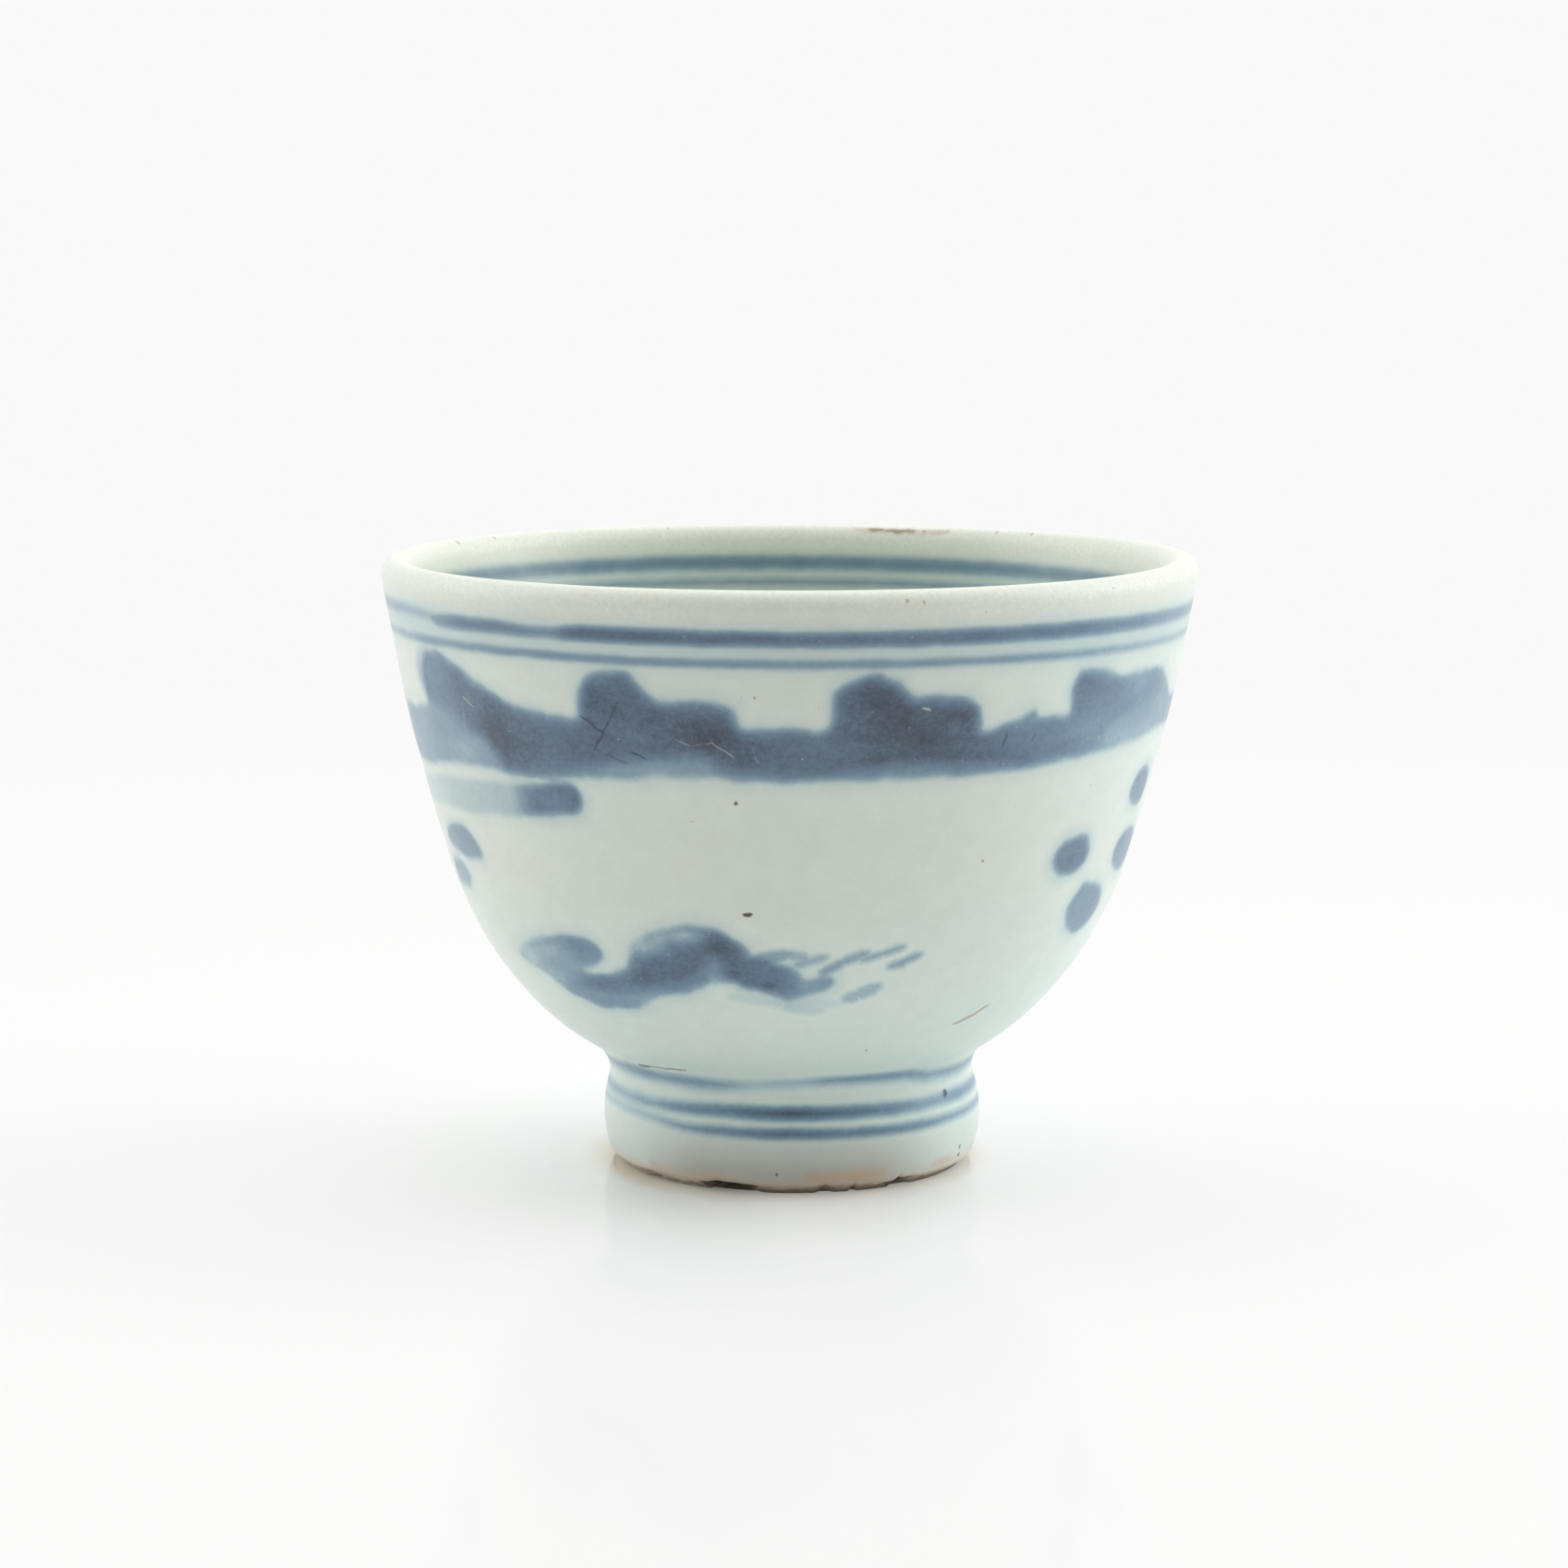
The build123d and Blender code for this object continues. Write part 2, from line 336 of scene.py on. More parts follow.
def skin_normals(places):
    """The skin's own normals at its rows, so that pieces which meet at the lip meet smoothly."""
    angles, rows = at_every_angle(places)
    reach = 0.03 + 1.1 * np.exp(-(((rows - CREST) / 3.2) ** 2))
    round_step = skin(angles + 0.2, rows) - skin(angles - 0.2, rows)
    up_step = skin(angles, rows + reach) - skin(angles, rows - reach)
    normal = np.cross(round_step, up_step)
    size = np.linalg.norm(normal, axis=-1, keepdims=True)
    return normal / np.maximum(size, 1e-12)


def coat_of_wall(name, places):
    """Glaze on the wall, seen at some lengths along it and closed underneath."""
    angles, rows = at_every_angle(places)
    top = skin(angles, rows)
    under_places = places[::-UNDER_STEP]
    under_places = np.unique(np.append(under_places, [places[0], places[-1]]))[::-1]
    under = placed(*grid(on_path(WALL_PATH, under_places, GLAZE)))
    if places[-1] >= WALL_END - 1e-6:  # the floor's centre is one point on the axis
        top[-1] = top[-1, 0] * [0, 0, 1]
        under[0] = under[0, 0] * [0, 0, 1]
    piece = turned(name, np.concatenate([top, under]), len(top))
    give_normals(piece, skin_normals(places), top, under)
    return piece


def give_normals(piece, normals, top, under):
    """The skin's normals on the seen rows, and the opposite ones beneath."""
    below = normals[::-1][:: max(1, len(normals) // len(under))]
    rows = list(normals)
    for k in range(len(under)):
        rows.append(-below[min(k, len(below) - 1)])
    if np.ptp(top[-1][:, 0]) < 1e-7:
        rows[len(top) - 1] = np.array([[0.0, 0.0, 1.0]])
        rows[len(top)] = np.array([[0.0, 0.0, -1.0]])
    piece.data.normals_split_custom_set_from_vertices(np.vstack(rows).tolist())


def outside_coat():
    """Its rows lie closer where the foot's edge, the lip and the painting need them."""
    fine = [(0.4, 0.8, 0.12), (up_to(7.5), 1.5, 0.3), (CREST - 1, 1.6, 0.16)]
    fine += [(up_to(38.3), 4.2, 0.32), (up_to(19), 4.6, 0.34), (up_to(44), 2, 0.3)]
    places = spaced(0, CREST, 0.48, fine)
    return coat_of_wall("outside_glaze_coat", places)


def inside_coat():
    lines = CREST + 3.5
    places = spaced(CREST, WALL_END, 0.9, [(CREST, 2.0, 0.16), (lines, 3.0, 0.3)])
    return coat_of_wall("inside_glaze_coat", places)


def base_coat():
    """Glaze in the hollow of the foot ring."""
    places = spaced(0, RECESS_PLACES[-1], 0.4)
    top = placed(*grid(on_path(RECESS_PATH, places)))
    under = placed(*grid(on_path(RECESS_PATH, places[::-UNDER_STEP], GLAZE)))
    under = np.concatenate([under, placed(*grid([(0.0, RECESS[0][1] + GLAZE)]))])
    for row in (top[0], under[-1]):
        row[:] = row[0] * [0, 0, 1]
    return turned("base_glaze_coat", np.concatenate([top, under]), len(top))


def body_rows():
    """(radius, height) rows of the paste, from its bare edge round to the hollow, and how many
    of them can be seen."""
    hollow = on_path(RECESS_PATH, spaced(0.5, RECESS_PLACES[-1], 1.5), GLAZE)
    outside = on_path(WALL_PATH, spaced(0, CREST, 1.6, [(0.5, 1.5, 0.2)]), GLAZE)
    inside = on_path(WALL_PATH, spaced(CREST, WALL_END, 1.8)[1:], GLAZE)
    bare = [hollow[-1], REST[0], REST[1], outside[0]]
    edge = []
    for (r0, z0), (r1, z1) in zip(bare, bare[1:]):
        for share in np.linspace(0, 1, 7)[:-1]:
            edge.append((r0 + (r1 - r0) * share, z0 + (z1 - z0) * share))
    seen = len(edge) + 9  # the bare edge, and the rows just above it
    return np.vstack([edge, outside, inside, [(0.0, RECESS[0][1] + GLAZE)], hollow[:-1]]), seen


def paste_body():
    """The clay under the glaze. Only its worn edge at the foot is seen."""
    rows, seen = body_rows()
    angles, radius, height = grid(rows)
    low = np.clip(1 - height / 0.9, 0, 1)
    worn = 0.045 * low * wave(angles, 8, 20, 90) * (radius > 12)
    chip = chipped(angles) * np.clip(1.4 - height, 0, 1) * (radius > 13.2)
    points = placed(angles, radius + worn - 1.8 * chip, height + np.maximum(worn, 0) * 0.6 + chip)
    for row in points:
        if np.hypot(*row[0, :2]) < 0.3 * MM:
            row[:] = row[0] * [0, 0, 1]
    return turned("paste_body", points, seen)


# ---- the painting, read as outlines of (angle, height) ----
BAND_TOP = [
    (-80, 37.2), (-73, 37.3), (-66, 37.6), (-64.3, 38.2), (-64, 39), (-63.6, 40.5),
    (-62.4, 41.6), (-60.5, 42.0), (-57.2, 42.05), (-55, 41.6), (-51.7, 41.2), (-50, 40.6),
    (-48.3, 40.1), (-43.9, 39.4), (-40.6, 38.8), (-38.9, 38.5), (-35, 38.4), (-30.3, 38.35),
    (-29.6, 38.7), (-29.4, 40), (-28.6, 41.2), (-27, 41.8), (-22.2, 42.0), (-21.1, 41.6),
    (-19.7, 40.7), (-18.3, 40.1), (-16.7, 39.8), (-12.8, 40), (-9.7, 40), (-7.8, 39.6),
    (-6.9, 38.9), (-6.4, 38.3), (-5.6, 38.15), (0, 38.1), (4.4, 38), (5.8, 38.3),
    (5.9, 39.7), (6.1, 40.8), (7.5, 41.5), (9.7, 41.8), (12, 42.1), (13, 41.75),
    (14.7, 41.5), (15.8, 40.8), (17.2, 40.3), (20, 40.3), (23.3, 40.2), (25.6, 39.8),
    (26.8, 39.2), (27.2, 38.2), (27.4, 37.6), (29.2, 37.5), (30.3, 38), (31.7, 38.25),
    (33.3, 38.3), (34.4, 38.7), (36.1, 38.9), (36.9, 38.3), (38.9, 38.2), (42.2, 38.3),
    (42.5, 39), (42.3, 40.2), (43.1, 41.2), (44.4, 41.6), (47.2, 41.5), (50, 41.2),
    (52.2, 40.7), (55.6, 40.7), (58.9, 40.8), (63.9, 40.8), (66.7, 40.7), (68.9, 40),
    (71, 39.2), (74, 38.3), (82, 37.9), (92.3, 38), (93.2, 40.2), (95, 41.5), (98, 41.8),
    (101, 41.1), (104, 40.3), (108, 40.1), (111, 39.4), (113, 38.2), (124, 38), (135.6, 38.2),
    (136.6, 40.2), (138.4, 41.5), (141.5, 41.7), (144, 41), (147, 40.3), (151, 40.2),
    (153.6, 39.3), (155.5, 38.2), (166, 38), (176.8, 38.2), (177.6, 40.4), (179.2, 41.6),
    (182.4, 41.9), (185, 41.1), (188, 40.5), (192, 40.4), (195.4, 39.6), (197.4, 38.2),
    (208, 38), (218.2, 38.2), (219, 40.1), (221, 41.4), (224, 41.6), (226.4, 40.8),
    (229, 40.2), (232.6, 40), (235.4, 39.1), (237.2, 38), (248, 37.8), (258, 38),
    (259, 40.2), (261, 41.6), (264, 41.8), (267, 40.9), (270, 40.3), (273, 40), (276, 38.9),
]
BAND_BOTTOM = [
    (-80, 32.6), (-70.6, 32.7), (-62.8, 33.3), (-57.2, 33.5), (-50.6, 33.6), (-45, 33.5),
    (-40.6, 33.4), (-35, 33.6), (-29.4, 33.8), (-23.9, 33.85), (-18.3, 34.25), (-12.8, 34.3),
    (-7.2, 34.2), (0, 34.1), (5.6, 34.15), (16.7, 34.2), (27.8, 34.25), (36.1, 34.5),
    (44.4, 34.8), (50, 35.0), (55.6, 35.1), (66.7, 35.5), (72, 35.75), (95, 35.4),
    (120, 34.8), (150, 34.4), (180, 34.5), (205, 34.1), (235, 33.6), (262, 33.0),
]
SECOND_LAYER = [
    (-60, 41.7), (-57, 41.6), (-53, 41.0), (-46, 39.6), (-40, 38.6), (-35, 38.2),
    (-30.5, 38.2), (-29.4, 40), (-28.4, 41.1), (-26, 41.7), (-22.3, 41.8), (-20, 40.6),
    (-17.5, 39.8), (-12, 39.8),
    (-8.5, 39.6), (-7, 38.6), (-5.5, 38), (0, 37.9), (5.5, 38), (6.2, 40.6), (8.5, 41.5),
    (12, 41.9), (14.5, 41.3), (17, 40.2), (23, 40), (26.4, 39.2), (27.2, 37.6), (30.5, 37.7),
    (36, 38.2), (42.5, 38.2), (42.6, 40.3), (44.5, 41.4), (48, 41.2), (51.5, 40.6), (57, 40.7),
    (63, 40.7), (66.5, 40.0), (67, 38.9), (60, 38.2), (55, 37.5), (51.5, 36.5), (49.5, 35.3),
    (44, 35), (36, 34.8), (28, 34.9), (16, 35), (8, 34.7),
    (2, 34.5), (-6, 34.6), (-10, 35), (-12, 35.8), (-18, 35.6), (-24, 35), (-30, 34.4),
    (-38, 33.7), (-44.3, 33.6), (-46.4, 34.7), (-48.6, 35.7), (-51.5, 36.2), (-55, 36.8),
    (-60, 37.8), (-65, 38.6), (-66, 40.5), (-63.5, 41.8),
]
ISLET_CORE = [
    (-45, 17.1), (-38, 17.8), (-33, 18.2), (-29, 19.0), (-26.5, 19.9), (-24, 20.5), (-21, 20.8),
    (-19.8, 21.5), (-17.5, 21.4), (-15, 21.9), (-13.8, 22.5), (-12, 22.6), (-10, 22.2),
    (-7.5, 21.4), (-6.3, 20.7), (-5, 20.3), (-2.5, 20.0), (-0.5, 19.3), (1, 18.6), (1.5, 17.9),
    (-1, 17.6), (-4, 17.8), (-8, 18.1), (-9.6, 18.8), (-11, 19.9), (-12.5, 20.3), (-13.8, 19.8),
    (-15, 18.8), (-18, 18.2), (-22, 17.7), (-27, 17.3), (-32, 16.9), (-37, 16.7), (-42, 16.6),
]
BACK_ISLET_CORE = [
    (168, 18.2), (176, 18.2), (183, 19.4), (188, 20.9), (194, 21.5), (199, 20.4), (203, 19.0),
    (209, 18.2), (203, 18.2), (196, 19.4), (190, 18.8), (183, 17.2), (174, 16.7),
]
SANDBAR = [
    (-31.3, 32), (-32, 33), (-33.5, 33.3), (-38, 33.1), (-42, 32.9), (-50, 32.8),
    (-58, 32.4), (-66, 32.2), (-76, 31.6), (-84, 31.2), (-84, 29.6), (-76, 29.3),
    (-66, 29.6), (-58, 29.6), (-52, 29.9), (-46, 30.1), (-40, 30.5), (-35, 30.8), (-32.3, 31),
]
BACK_SANDBAR = [
    (117, 31.3), (122, 32.3), (130, 32.7), (140, 33), (150, 33.3), (153, 32.6), (152, 31.4),
    (144, 31), (134, 30.6), (124, 30.1), (118, 30.2),
]
ISLET = [
    (-57.5, 18.4), (-56.1, 19.2), (-52.8, 19.9), (-48.3, 20.5), (-43.9, 20.9), (-39.4, 21.2),
    (-36.1, 21.2), (-34.2, 20.7), (-33.3, 20), (-34.7, 19.2), (-36.7, 18.7), (-38.9, 18.3),
    (-36.7, 18.2), (-32.2, 18.5), (-29.4, 19), (-28.1, 19.7), (-27.5, 20.2), (-26.7, 21),
    (-25, 21.6), (-22.8, 22.2), (-19.4, 22.7), (-15.6, 23), (-12.2, 22.8), (-10, 22.4),
    (-7.2, 21.6), (-6.1, 21), (-5.8, 20.5), (-3.3, 20.5), (1.1, 19.6), (3.3, 18.8),
    (6.7, 19.1), (8.3, 18.7), (7.2, 18), (3.3, 17.4), (1.1, 17.1), (0, 17), (-3.9, 17.6),
    (-7.2, 18), (-10, 18.4), (-12.8, 18.6), (-13.9, 18.2), (-18.3, 17.3), (-23.9, 16.8),
    (-29.4, 15.6), (-35, 15.3), (-39.4, 15.2), (-45, 15.8), (-48.3, 16.5), (-51.1, 17.3),
    (-55, 17.8),
]
BACK_ISLET = [
    (156, 18.6), (160, 19.8), (166, 19.4), (172, 18.6), (180, 18.8), (184, 20.4),
    (190, 21.8), (197, 22.3), (201, 21.4), (204, 20.2), (210, 19.4), (215, 18.6),
    (210, 17.4), (204, 17.6), (197, 18.6), (192, 17.9), (184, 16.4), (174, 15.9), (163, 16.8),
]
LEAVES = [
    [(-57.8, 26.8), (-61, 28.3), (-65, 28.4), (-69, 28.1), (-72.2, 27.4), (-73, 26.5),
     (-68.3, 26), (-62.8, 25.7), (-58.9, 26)],
    [(-65.3, 24.2), (-67.5, 25.2), (-71, 25.3), (-75, 24.9), (-75, 23), (-70, 23), (-67, 23.2)],
    [(45.8, 27), (47.0, 28.0), (49.5, 28.4), (52.6, 28.5), (54.2, 28), (55.4, 26.7),
     (53.6, 25.7), (50, 25.5), (47.2, 26)],
    [(53.9, 22.4), (55.3, 23.8), (57, 24.4), (59.4, 24.2), (63.4, 23.9), (66.6, 23),
     (67.6, 22), (66.5, 20.9), (63, 20.3), (59.4, 20.3), (56, 21.1)],
    [(65.6, 31.4), (66.2, 30.4), (70, 29.7), (73.6, 29.9), (75.2, 31), (74, 32.1),
     (71, 32.75), (67.6, 32.6)],
    [(65.8, 26.5), (67.5, 27.5), (72, 27.9), (77, 27.2), (79.5, 26), (77.5, 24.6),
     (73, 24.3), (69, 24.8), (66.6, 25.6)],
    [(79.5, 22.4), (82, 24), (86, 24.1), (88.8, 22.8), (87, 21.2), (82.5, 20.9)],
    [(-91, 27.4), (-88, 28.8), (-83, 28.9), (-79.6, 27.7), (-82, 26.4), (-88, 26.2)],
    [(232.5, 26.6), (235, 28), (240, 28.1), (243.5, 26.8), (240.5, 25.2), (235, 25.1)],
    [(243, 22.3), (246, 24), (251, 24.2), (255, 22.6), (251.5, 20.8), (246, 20.6)],
]
LEAF_INK = [0.62, 0.45, 0.9, 0.71, 0.84, 0.80, 0.6, 0.55, 0.7, 0.75]

# (angle, height, reach in degrees, reach in mm, ink): where a wash lies thicker or thinner
BAND_POOLS = [
    (-24, 40.2, 4, 1.6, 0.04), (12, 40.5, 4, 1.5, 0.08), (-46.5, 36.6, 2.5, 2.0, 0.14),
    (-68, 37.5, 6, 6, -0.12), (-78, 36, 8, 8, -0.10), (-54, 34.6, 7, 1.1, -0.24),
    (-21, 34.7, 9, 0.7, -0.18), (62, 35.8, 12, 1.4, -0.20),
    (56, 40.6, 9, 2.4, -0.12), (47, 36.6, 5, 1.8, -0.14),
    (100, 36, 22, 3, -0.08), (170, 36, 20, 3, 0.08), (255, 36, 20, 3, -0.10),
]
SECOND_POOLS = [
    (-24, 39.0, 4, 1.6, 0.06), (-9, 37.3, 5, 1.5, 0.32), (18, 37.8, 8, 1.8, 0.28),
    (12, 40.5, 3, 1.2, 0.12), (-44.5, 35.6, 3, 1.8, 0.16), (-60, 40.5, 6, 3, -0.30),
    (35, 37.0, 7, 1.6, -0.22), (-57, 37.5, 5, 1.0, -0.12),
    (61, 40, 10, 3, -0.36), (48, 37.0, 5, 2, -0.26), (0, 36.6, 5, 1.4, -0.06),
    (-34, 36.5, 5, 1.4, -0.05),
]
ISLET_POOLS = [
    (-54, 18.7, 5, 1.6, -0.42), (-46, 19.6, 4, 0.8, -0.28), (-38, 20.4, 3.5, 0.9, 0.10),
    (-47, 17.2, 5, 1, -0.20), (-24.5, 20.9, 2.6, 0.7, -0.36), (-21, 21.7, 2.6, 0.5, -0.28),
    (-16.5, 22.1, 3, 0.42, -0.34), (-29.5, 18.8, 2.5, 0.5, -0.12), (-13, 18.9, 2.5, 0.5, -0.35),
    (-40, 18.6, 4, 0.5, -0.15), (-27, 16.3, 6, 0.5, -0.20), (4, 18.2, 3, 0.8, -0.14),
    (-4, 20.9, 3, 0.5, -0.2),
]
CORE_POOLS = [
    (-26, 18.3, 4, 0.8, 0.14), (-17, 19.6, 4, 1.0, 0.08), (-10.5, 21.0, 3, 1, 0.14),
    (-3, 18.2, 1.0, 0.35, 0.35), (-42, 17.1, 5, 1.0, -0.18), (-14, 21.6, 2, 0.6, -0.05),
]


FARTHEST = 3.0  # mm from an outline beyond which the distance is not worked out


def rounded(outline, parts=4):
    """A closed outline with its corners eased: a smooth curve through its points."""
    points = np.array(outline, float)
    before, after = np.roll(points, 1, axis=0), np.roll(points, -1, axis=0)
    beyond = np.roll(points, -2, axis=0)
    curve = []
    for t in np.arange(parts) / parts:
        a = 2 * points + (after - before) * t
        b = (2 * before - 5 * points + 4 * after - beyond) * t**2
        c = (3 * points - before - 3 * after + beyond) * t**3
        curve.append((a + b + c) / 2)
    return np.stack(curve, axis=1).reshape(-1, 2)


def band_outline():
    """The shoreline all round, carried past where it meets itself."""
    top = BAND_TOP + [(280, 37.2), (285, 36.4)]
    bottom = BAND_BOTTOM + [(280, 32.6), (285, 33.8)]
    return [(-85, 36.0)] + top + bottom[::-1] + [(-85, 33.8)]


def depth_inside(angles, heights, outline):
    """Distance in mm from the edge of an outline, above 0 inside and below 0 outside."""
    curve = rounded(outline)
    radius = radius_at(np.array(outline)[:, 1].mean())
    reach = FARTHEST
    low, high = curve.min(0), curve.max(0)
    spread = math.degrees(reach / radius)
    depth = np.full(angles.shape, -reach)
    for whole in (0, 360):
        turned_angles = angles + whole
        close = (turned_angles > low[0] - spread) & (turned_angles < high[0] + spread)
        close &= (heights > low[1] - reach) & (heights < high[1] + reach)
        x = np.radians(turned_angles[close]) * radius
        y = up_to(heights[close])
        edge = np.stack([np.radians(curve[:, 0]) * radius, up_to(curve[:, 1])], axis=1)
        depth[close] = np.maximum(depth[close], signed_distance(x, y, edge))
    return depth


def signed_distance(x, y, edge):
    nearest = np.full(x.shape, 9.0)
    inside = np.zeros(x.shape, bool)
    for (x0, y0), (x1, y1) in zip(edge, np.roll(edge, -1, axis=0)):
        run, rise = x1 - x0, y1 - y0
        share = np.clip(((x - x0) * run + (y - y0) * rise) / (run * run + rise * rise), 0, 1)
        nearest = np.minimum(nearest, np.hypot(x - x0 - share * run, y - y0 - share * rise))
        if y0 != y1:
            inside ^= ((y0 > y) != (y1 > y)) & (x < x0 + run * (y - y0) / rise)
    return np.where(inside, nearest, -nearest)


def pooled(angles, heights, base, pools):
    """Ink of a wash with its thick and thin places."""
    ink = np.full(angles.shape, float(base))
    for angle, height, turn_reach, rise_reach, extra in pools:
        rise = np.exp(-(((heights - height) / rise_reach) ** 2))
        ink += extra * near(angles, angle, turn_reach) * rise
    return ink


def washes(angles, heights):
    """(depth, ink) of the first layer of brushwork: the nearest shape's."""
    shapes = [(band_outline(), pooled(angles, heights, 0.60, BAND_POOLS))]
    pale = 0.16 + 0.12 * np.clip((angles + 75) / 30, 0, 1)
    shapes.append((SANDBAR, pale + 0.72 * eased(angles, -46, -38.5)))
    shapes.append((BACK_SANDBAR, np.full(angles.shape, 0.5)))
    shapes.append((ISLET, pooled(angles, heights, 0.65, ISLET_POOLS)))
    shapes.append((BACK_ISLET, pooled(angles, heights, 0.6, [(180, 18, 10, 2, 0.15)])))
    for outline, ink in zip(LEAVES, LEAF_INK):
        shapes.append((outline, np.full(angles.shape, ink)))
    depth = np.full(angles.shape, -FARTHEST)
    inks = np.zeros(angles.shape)
    for outline, ink in shapes:
        here = depth_inside(angles, heights, outline)
        inks = np.where(here > depth, ink, inks)
        depth = np.maximum(depth, here)
    return depth, inks


def second_layer(angles, heights, band_depth):
    """(depth, ink) of the wash laid over the band and the islets: read in front, guessed behind."""
    depth = depth_inside(angles, heights, SECOND_LAYER)
    behind = np.abs(angles % 360 - 180)
    reach = (86 - behind + 1.5 * (heights - 37)) / 5 + 1.2 * wave(angles, 21, 3, 14)
    guessed = np.where(heights > 33, np.minimum(band_depth - 0.4, reach), -FARTHEST)
    core = depth_inside(angles, heights, ISLET_CORE)
    core = np.maximum(core, depth_inside(angles, heights, BACK_ISLET_CORE))
    band_ink = pooled(angles, heights, 0.50, SECOND_POOLS)
    core_ink = pooled(angles, heights, 0.43, CORE_POOLS)
    ink = np.where(heights > 28, band_ink, core_ink)
    return np.maximum(np.maximum(depth, guessed), core), ink


def ring_line(angles, heights, node, table):
    """(offset, ink, half width) of a ring line. Its table has (angle, shift, ink, share of width)."""
    height, half = line_of(node)
    table = np.array(table, float)
    shift, ink, share = [np.interp(angles, table[:, 0], table[:, k], period=360) for k in (1, 2, 3)]
    offset = up_to(heights) - up_to(height + shift)
    return np.stack([offset, ink, half * share], axis=-1)


RIM_WIDE = [
    (-179, 0.0, 0.85, 0.95), (-105, 0.10, 0.65, 0.9), (-84, 0.15, 0.32, 0.9), (-66, 0.35, 0.26, 0.9),
    (-58, 0.15, 0.25, 0.6), (-56, -0.1, 0.5, 0.8), (-51, 0.0, 0.72, 0.95), (-43, 0.0, 0.72, 0.9),
    (-36, -0.10, 0.6, 0.72), (-32.6, -0.08, 0.6, 0.7), (-30.6, 0.0, 0.85, 0.9), (-28, 0.05, 0.98, 1.0),
    (-20, 0.05, 0.98, 1.0), (0, 0.0, 0.90, 0.95), (14, 0.0, 0.80, 1.0), (24, 0.05, 0.90, 1.0),
    (46, 0.05, 0.78, 1.0), (60, 0.05, 0.56, 0.95), (78, 0.05, 0.36, 0.9), (105, 0.0, 0.75, 0.95),
    (178, 0.0, 0.85, 0.95),
]
RIM_NARROW = [
    (-170, 0.0, 0.55, 1.0), (-105, 0.0, 0.45, 1.0), (-78, 0.0, 0.26, 1.0), (-60, 0.05, 0.38, 1.05),
    (-40, 0.05, 0.52, 1.0), (-20, 0.0, 0.52, 0.95), (0, 0.0, 0.50, 1.05), (25, 0.0, 0.42, 1.0),
    (46, 0.0, 0.36, 1.0), (60, 0.0, 0.26, 1.0), (80, 0.0, 0.24, 1.0), (110, 0.0, 0.48, 1.0),
]
FOOT_UPPER = [
    (-150, -0.3, 0.5, 1.0), (-65, -0.45, 0.5, 1.1), (-48, -0.4, 0.66, 1.1), (-42, -0.45, 0.5, 1.0),
    (-26, -0.45, 0.62, 1.1), (-17, -0.4, 0.5, 1.0), (-10, -0.3, 0.3, 0.9), (4, 0.0, 0.3, 0.9),
    (11, 0.15, 0.5, 1.1), (22, 0.2, 0.58, 1.1), (38, 0.05, 0.55, 1.1), (46, -0.4, 0.5, 1.0),
    (62, -0.6, 0.5, 1.0), (120, -0.3, 0.5, 1.0),
]
FOOT_MIDDLE = [
    (-150, 0.0, 0.6, 1.0), (-60, -0.2, 0.4, 0.9), (-45, -0.15, 0.5, 0.9), (-20, 0.05, 0.85, 1.0),
    (0, 0.05, 1.28, 1.05), (20, 0.05, 0.96, 1.0), (45, -0.05, 0.6, 0.95), (120, 0.0, 0.6, 1.0),
]
FOOT_LOWER = [
    (-150, 0.1, 0.5, 1.0), (-60, 0.4, 0.24, 0.9), (-42, 0.25, 0.34, 0.9), (-33, 0.0, 0.5, 0.95),
    (0, 0.05, 1.0, 1.1), (30, -0.05, 0.78, 1.05), (60, 0.0, 0.5, 1.0), (120, 0.0, 0.55, 1.0),
]
INSIDE_WIDE = [
    (-150, 0.0, 0.60, 1.0), (-20, 0.05, 0.6, 0.9), (90, 0.0, 0.6, 1.0), (180, 0.0, 0.61, 1.0),
]
INSIDE_NARROW = [
    (-150, 0.0, 0.36, 1.0), (0, 0.05, 0.4, 1.0), (120, 0.0, 0.38, 1.0), (180, 0.0, 0.38, 1.0),
]
OUTSIDE_LINES = {  # CAD node: (table, softness of the edge in mm)
    "rim_line_wide": (RIM_WIDE, 0.42),
    "rim_line_narrow": (RIM_NARROW, 0.34),
    "foot_line_upper": (FOOT_UPPER, 0.7),
    "foot_line_middle": (FOOT_MIDDLE, 0.52),
    "foot_line_lower": (FOOT_LOWER, 0.46),
}
INSIDE_LINES = {"inside_line_wide": (INSIDE_WIDE, 0.55), "inside_line_narrow": (INSIDE_NARROW, 0.5)}


def store(piece, name, vectors):
    """A vector on each vertex, for the material to read."""
    made = piece.data.attributes.new(name, "FLOAT_VECTOR", "POINT")
    made.data.foreach_set("vector", vectors.astype(np.float32).ravel())


def vertex_places(piece):
    """(angle, height) of every vertex of a piece."""
    flat = np.zeros(len(piece.data.vertices) * 3)
    piece.data.vertices.foreach_get("co", flat)
    x, y, z = (flat.reshape(-1, 3) / MM).T
    return np.degrees(np.arctan2(x, -y)), z


def paint_lines(piece, lines):
    angles, heights = vertex_places(piece)
    for name, (table, _) in lines.items():
        store(piece, name, ring_line(angles, heights, name, table))


def paint_washes(piece):
    angles, heights = vertex_places(piece)
    depth, ink = washes(angles, heights)
    over_depth, over_ink = second_layer(angles, heights, depth)
    store(piece, "wash", np.stack([depth, ink, 0 * ink], axis=1))
    store(piece, "second", np.stack([over_depth, over_ink, 0 * ink], axis=1))


# ---- short names for shader nodes ----
def node(tree, kind, values=(), output=0, **settings):
    """A new node with its settings, and a value or a link for its inputs. Gives one output."""
    made = tree.nodes.new("ShaderNode" + kind)
    for name, setting in settings.items():
        setattr(made, name, setting)
    pairs = values.items() if isinstance(values, dict) else enumerate(values)
    for place, value in pairs:
        if isinstance(value, bpy.types.NodeSocket):
            tree.links.new(value, made.inputs[place])
        else:
            made.inputs[place].default_value = value
    return made.outputs[output]


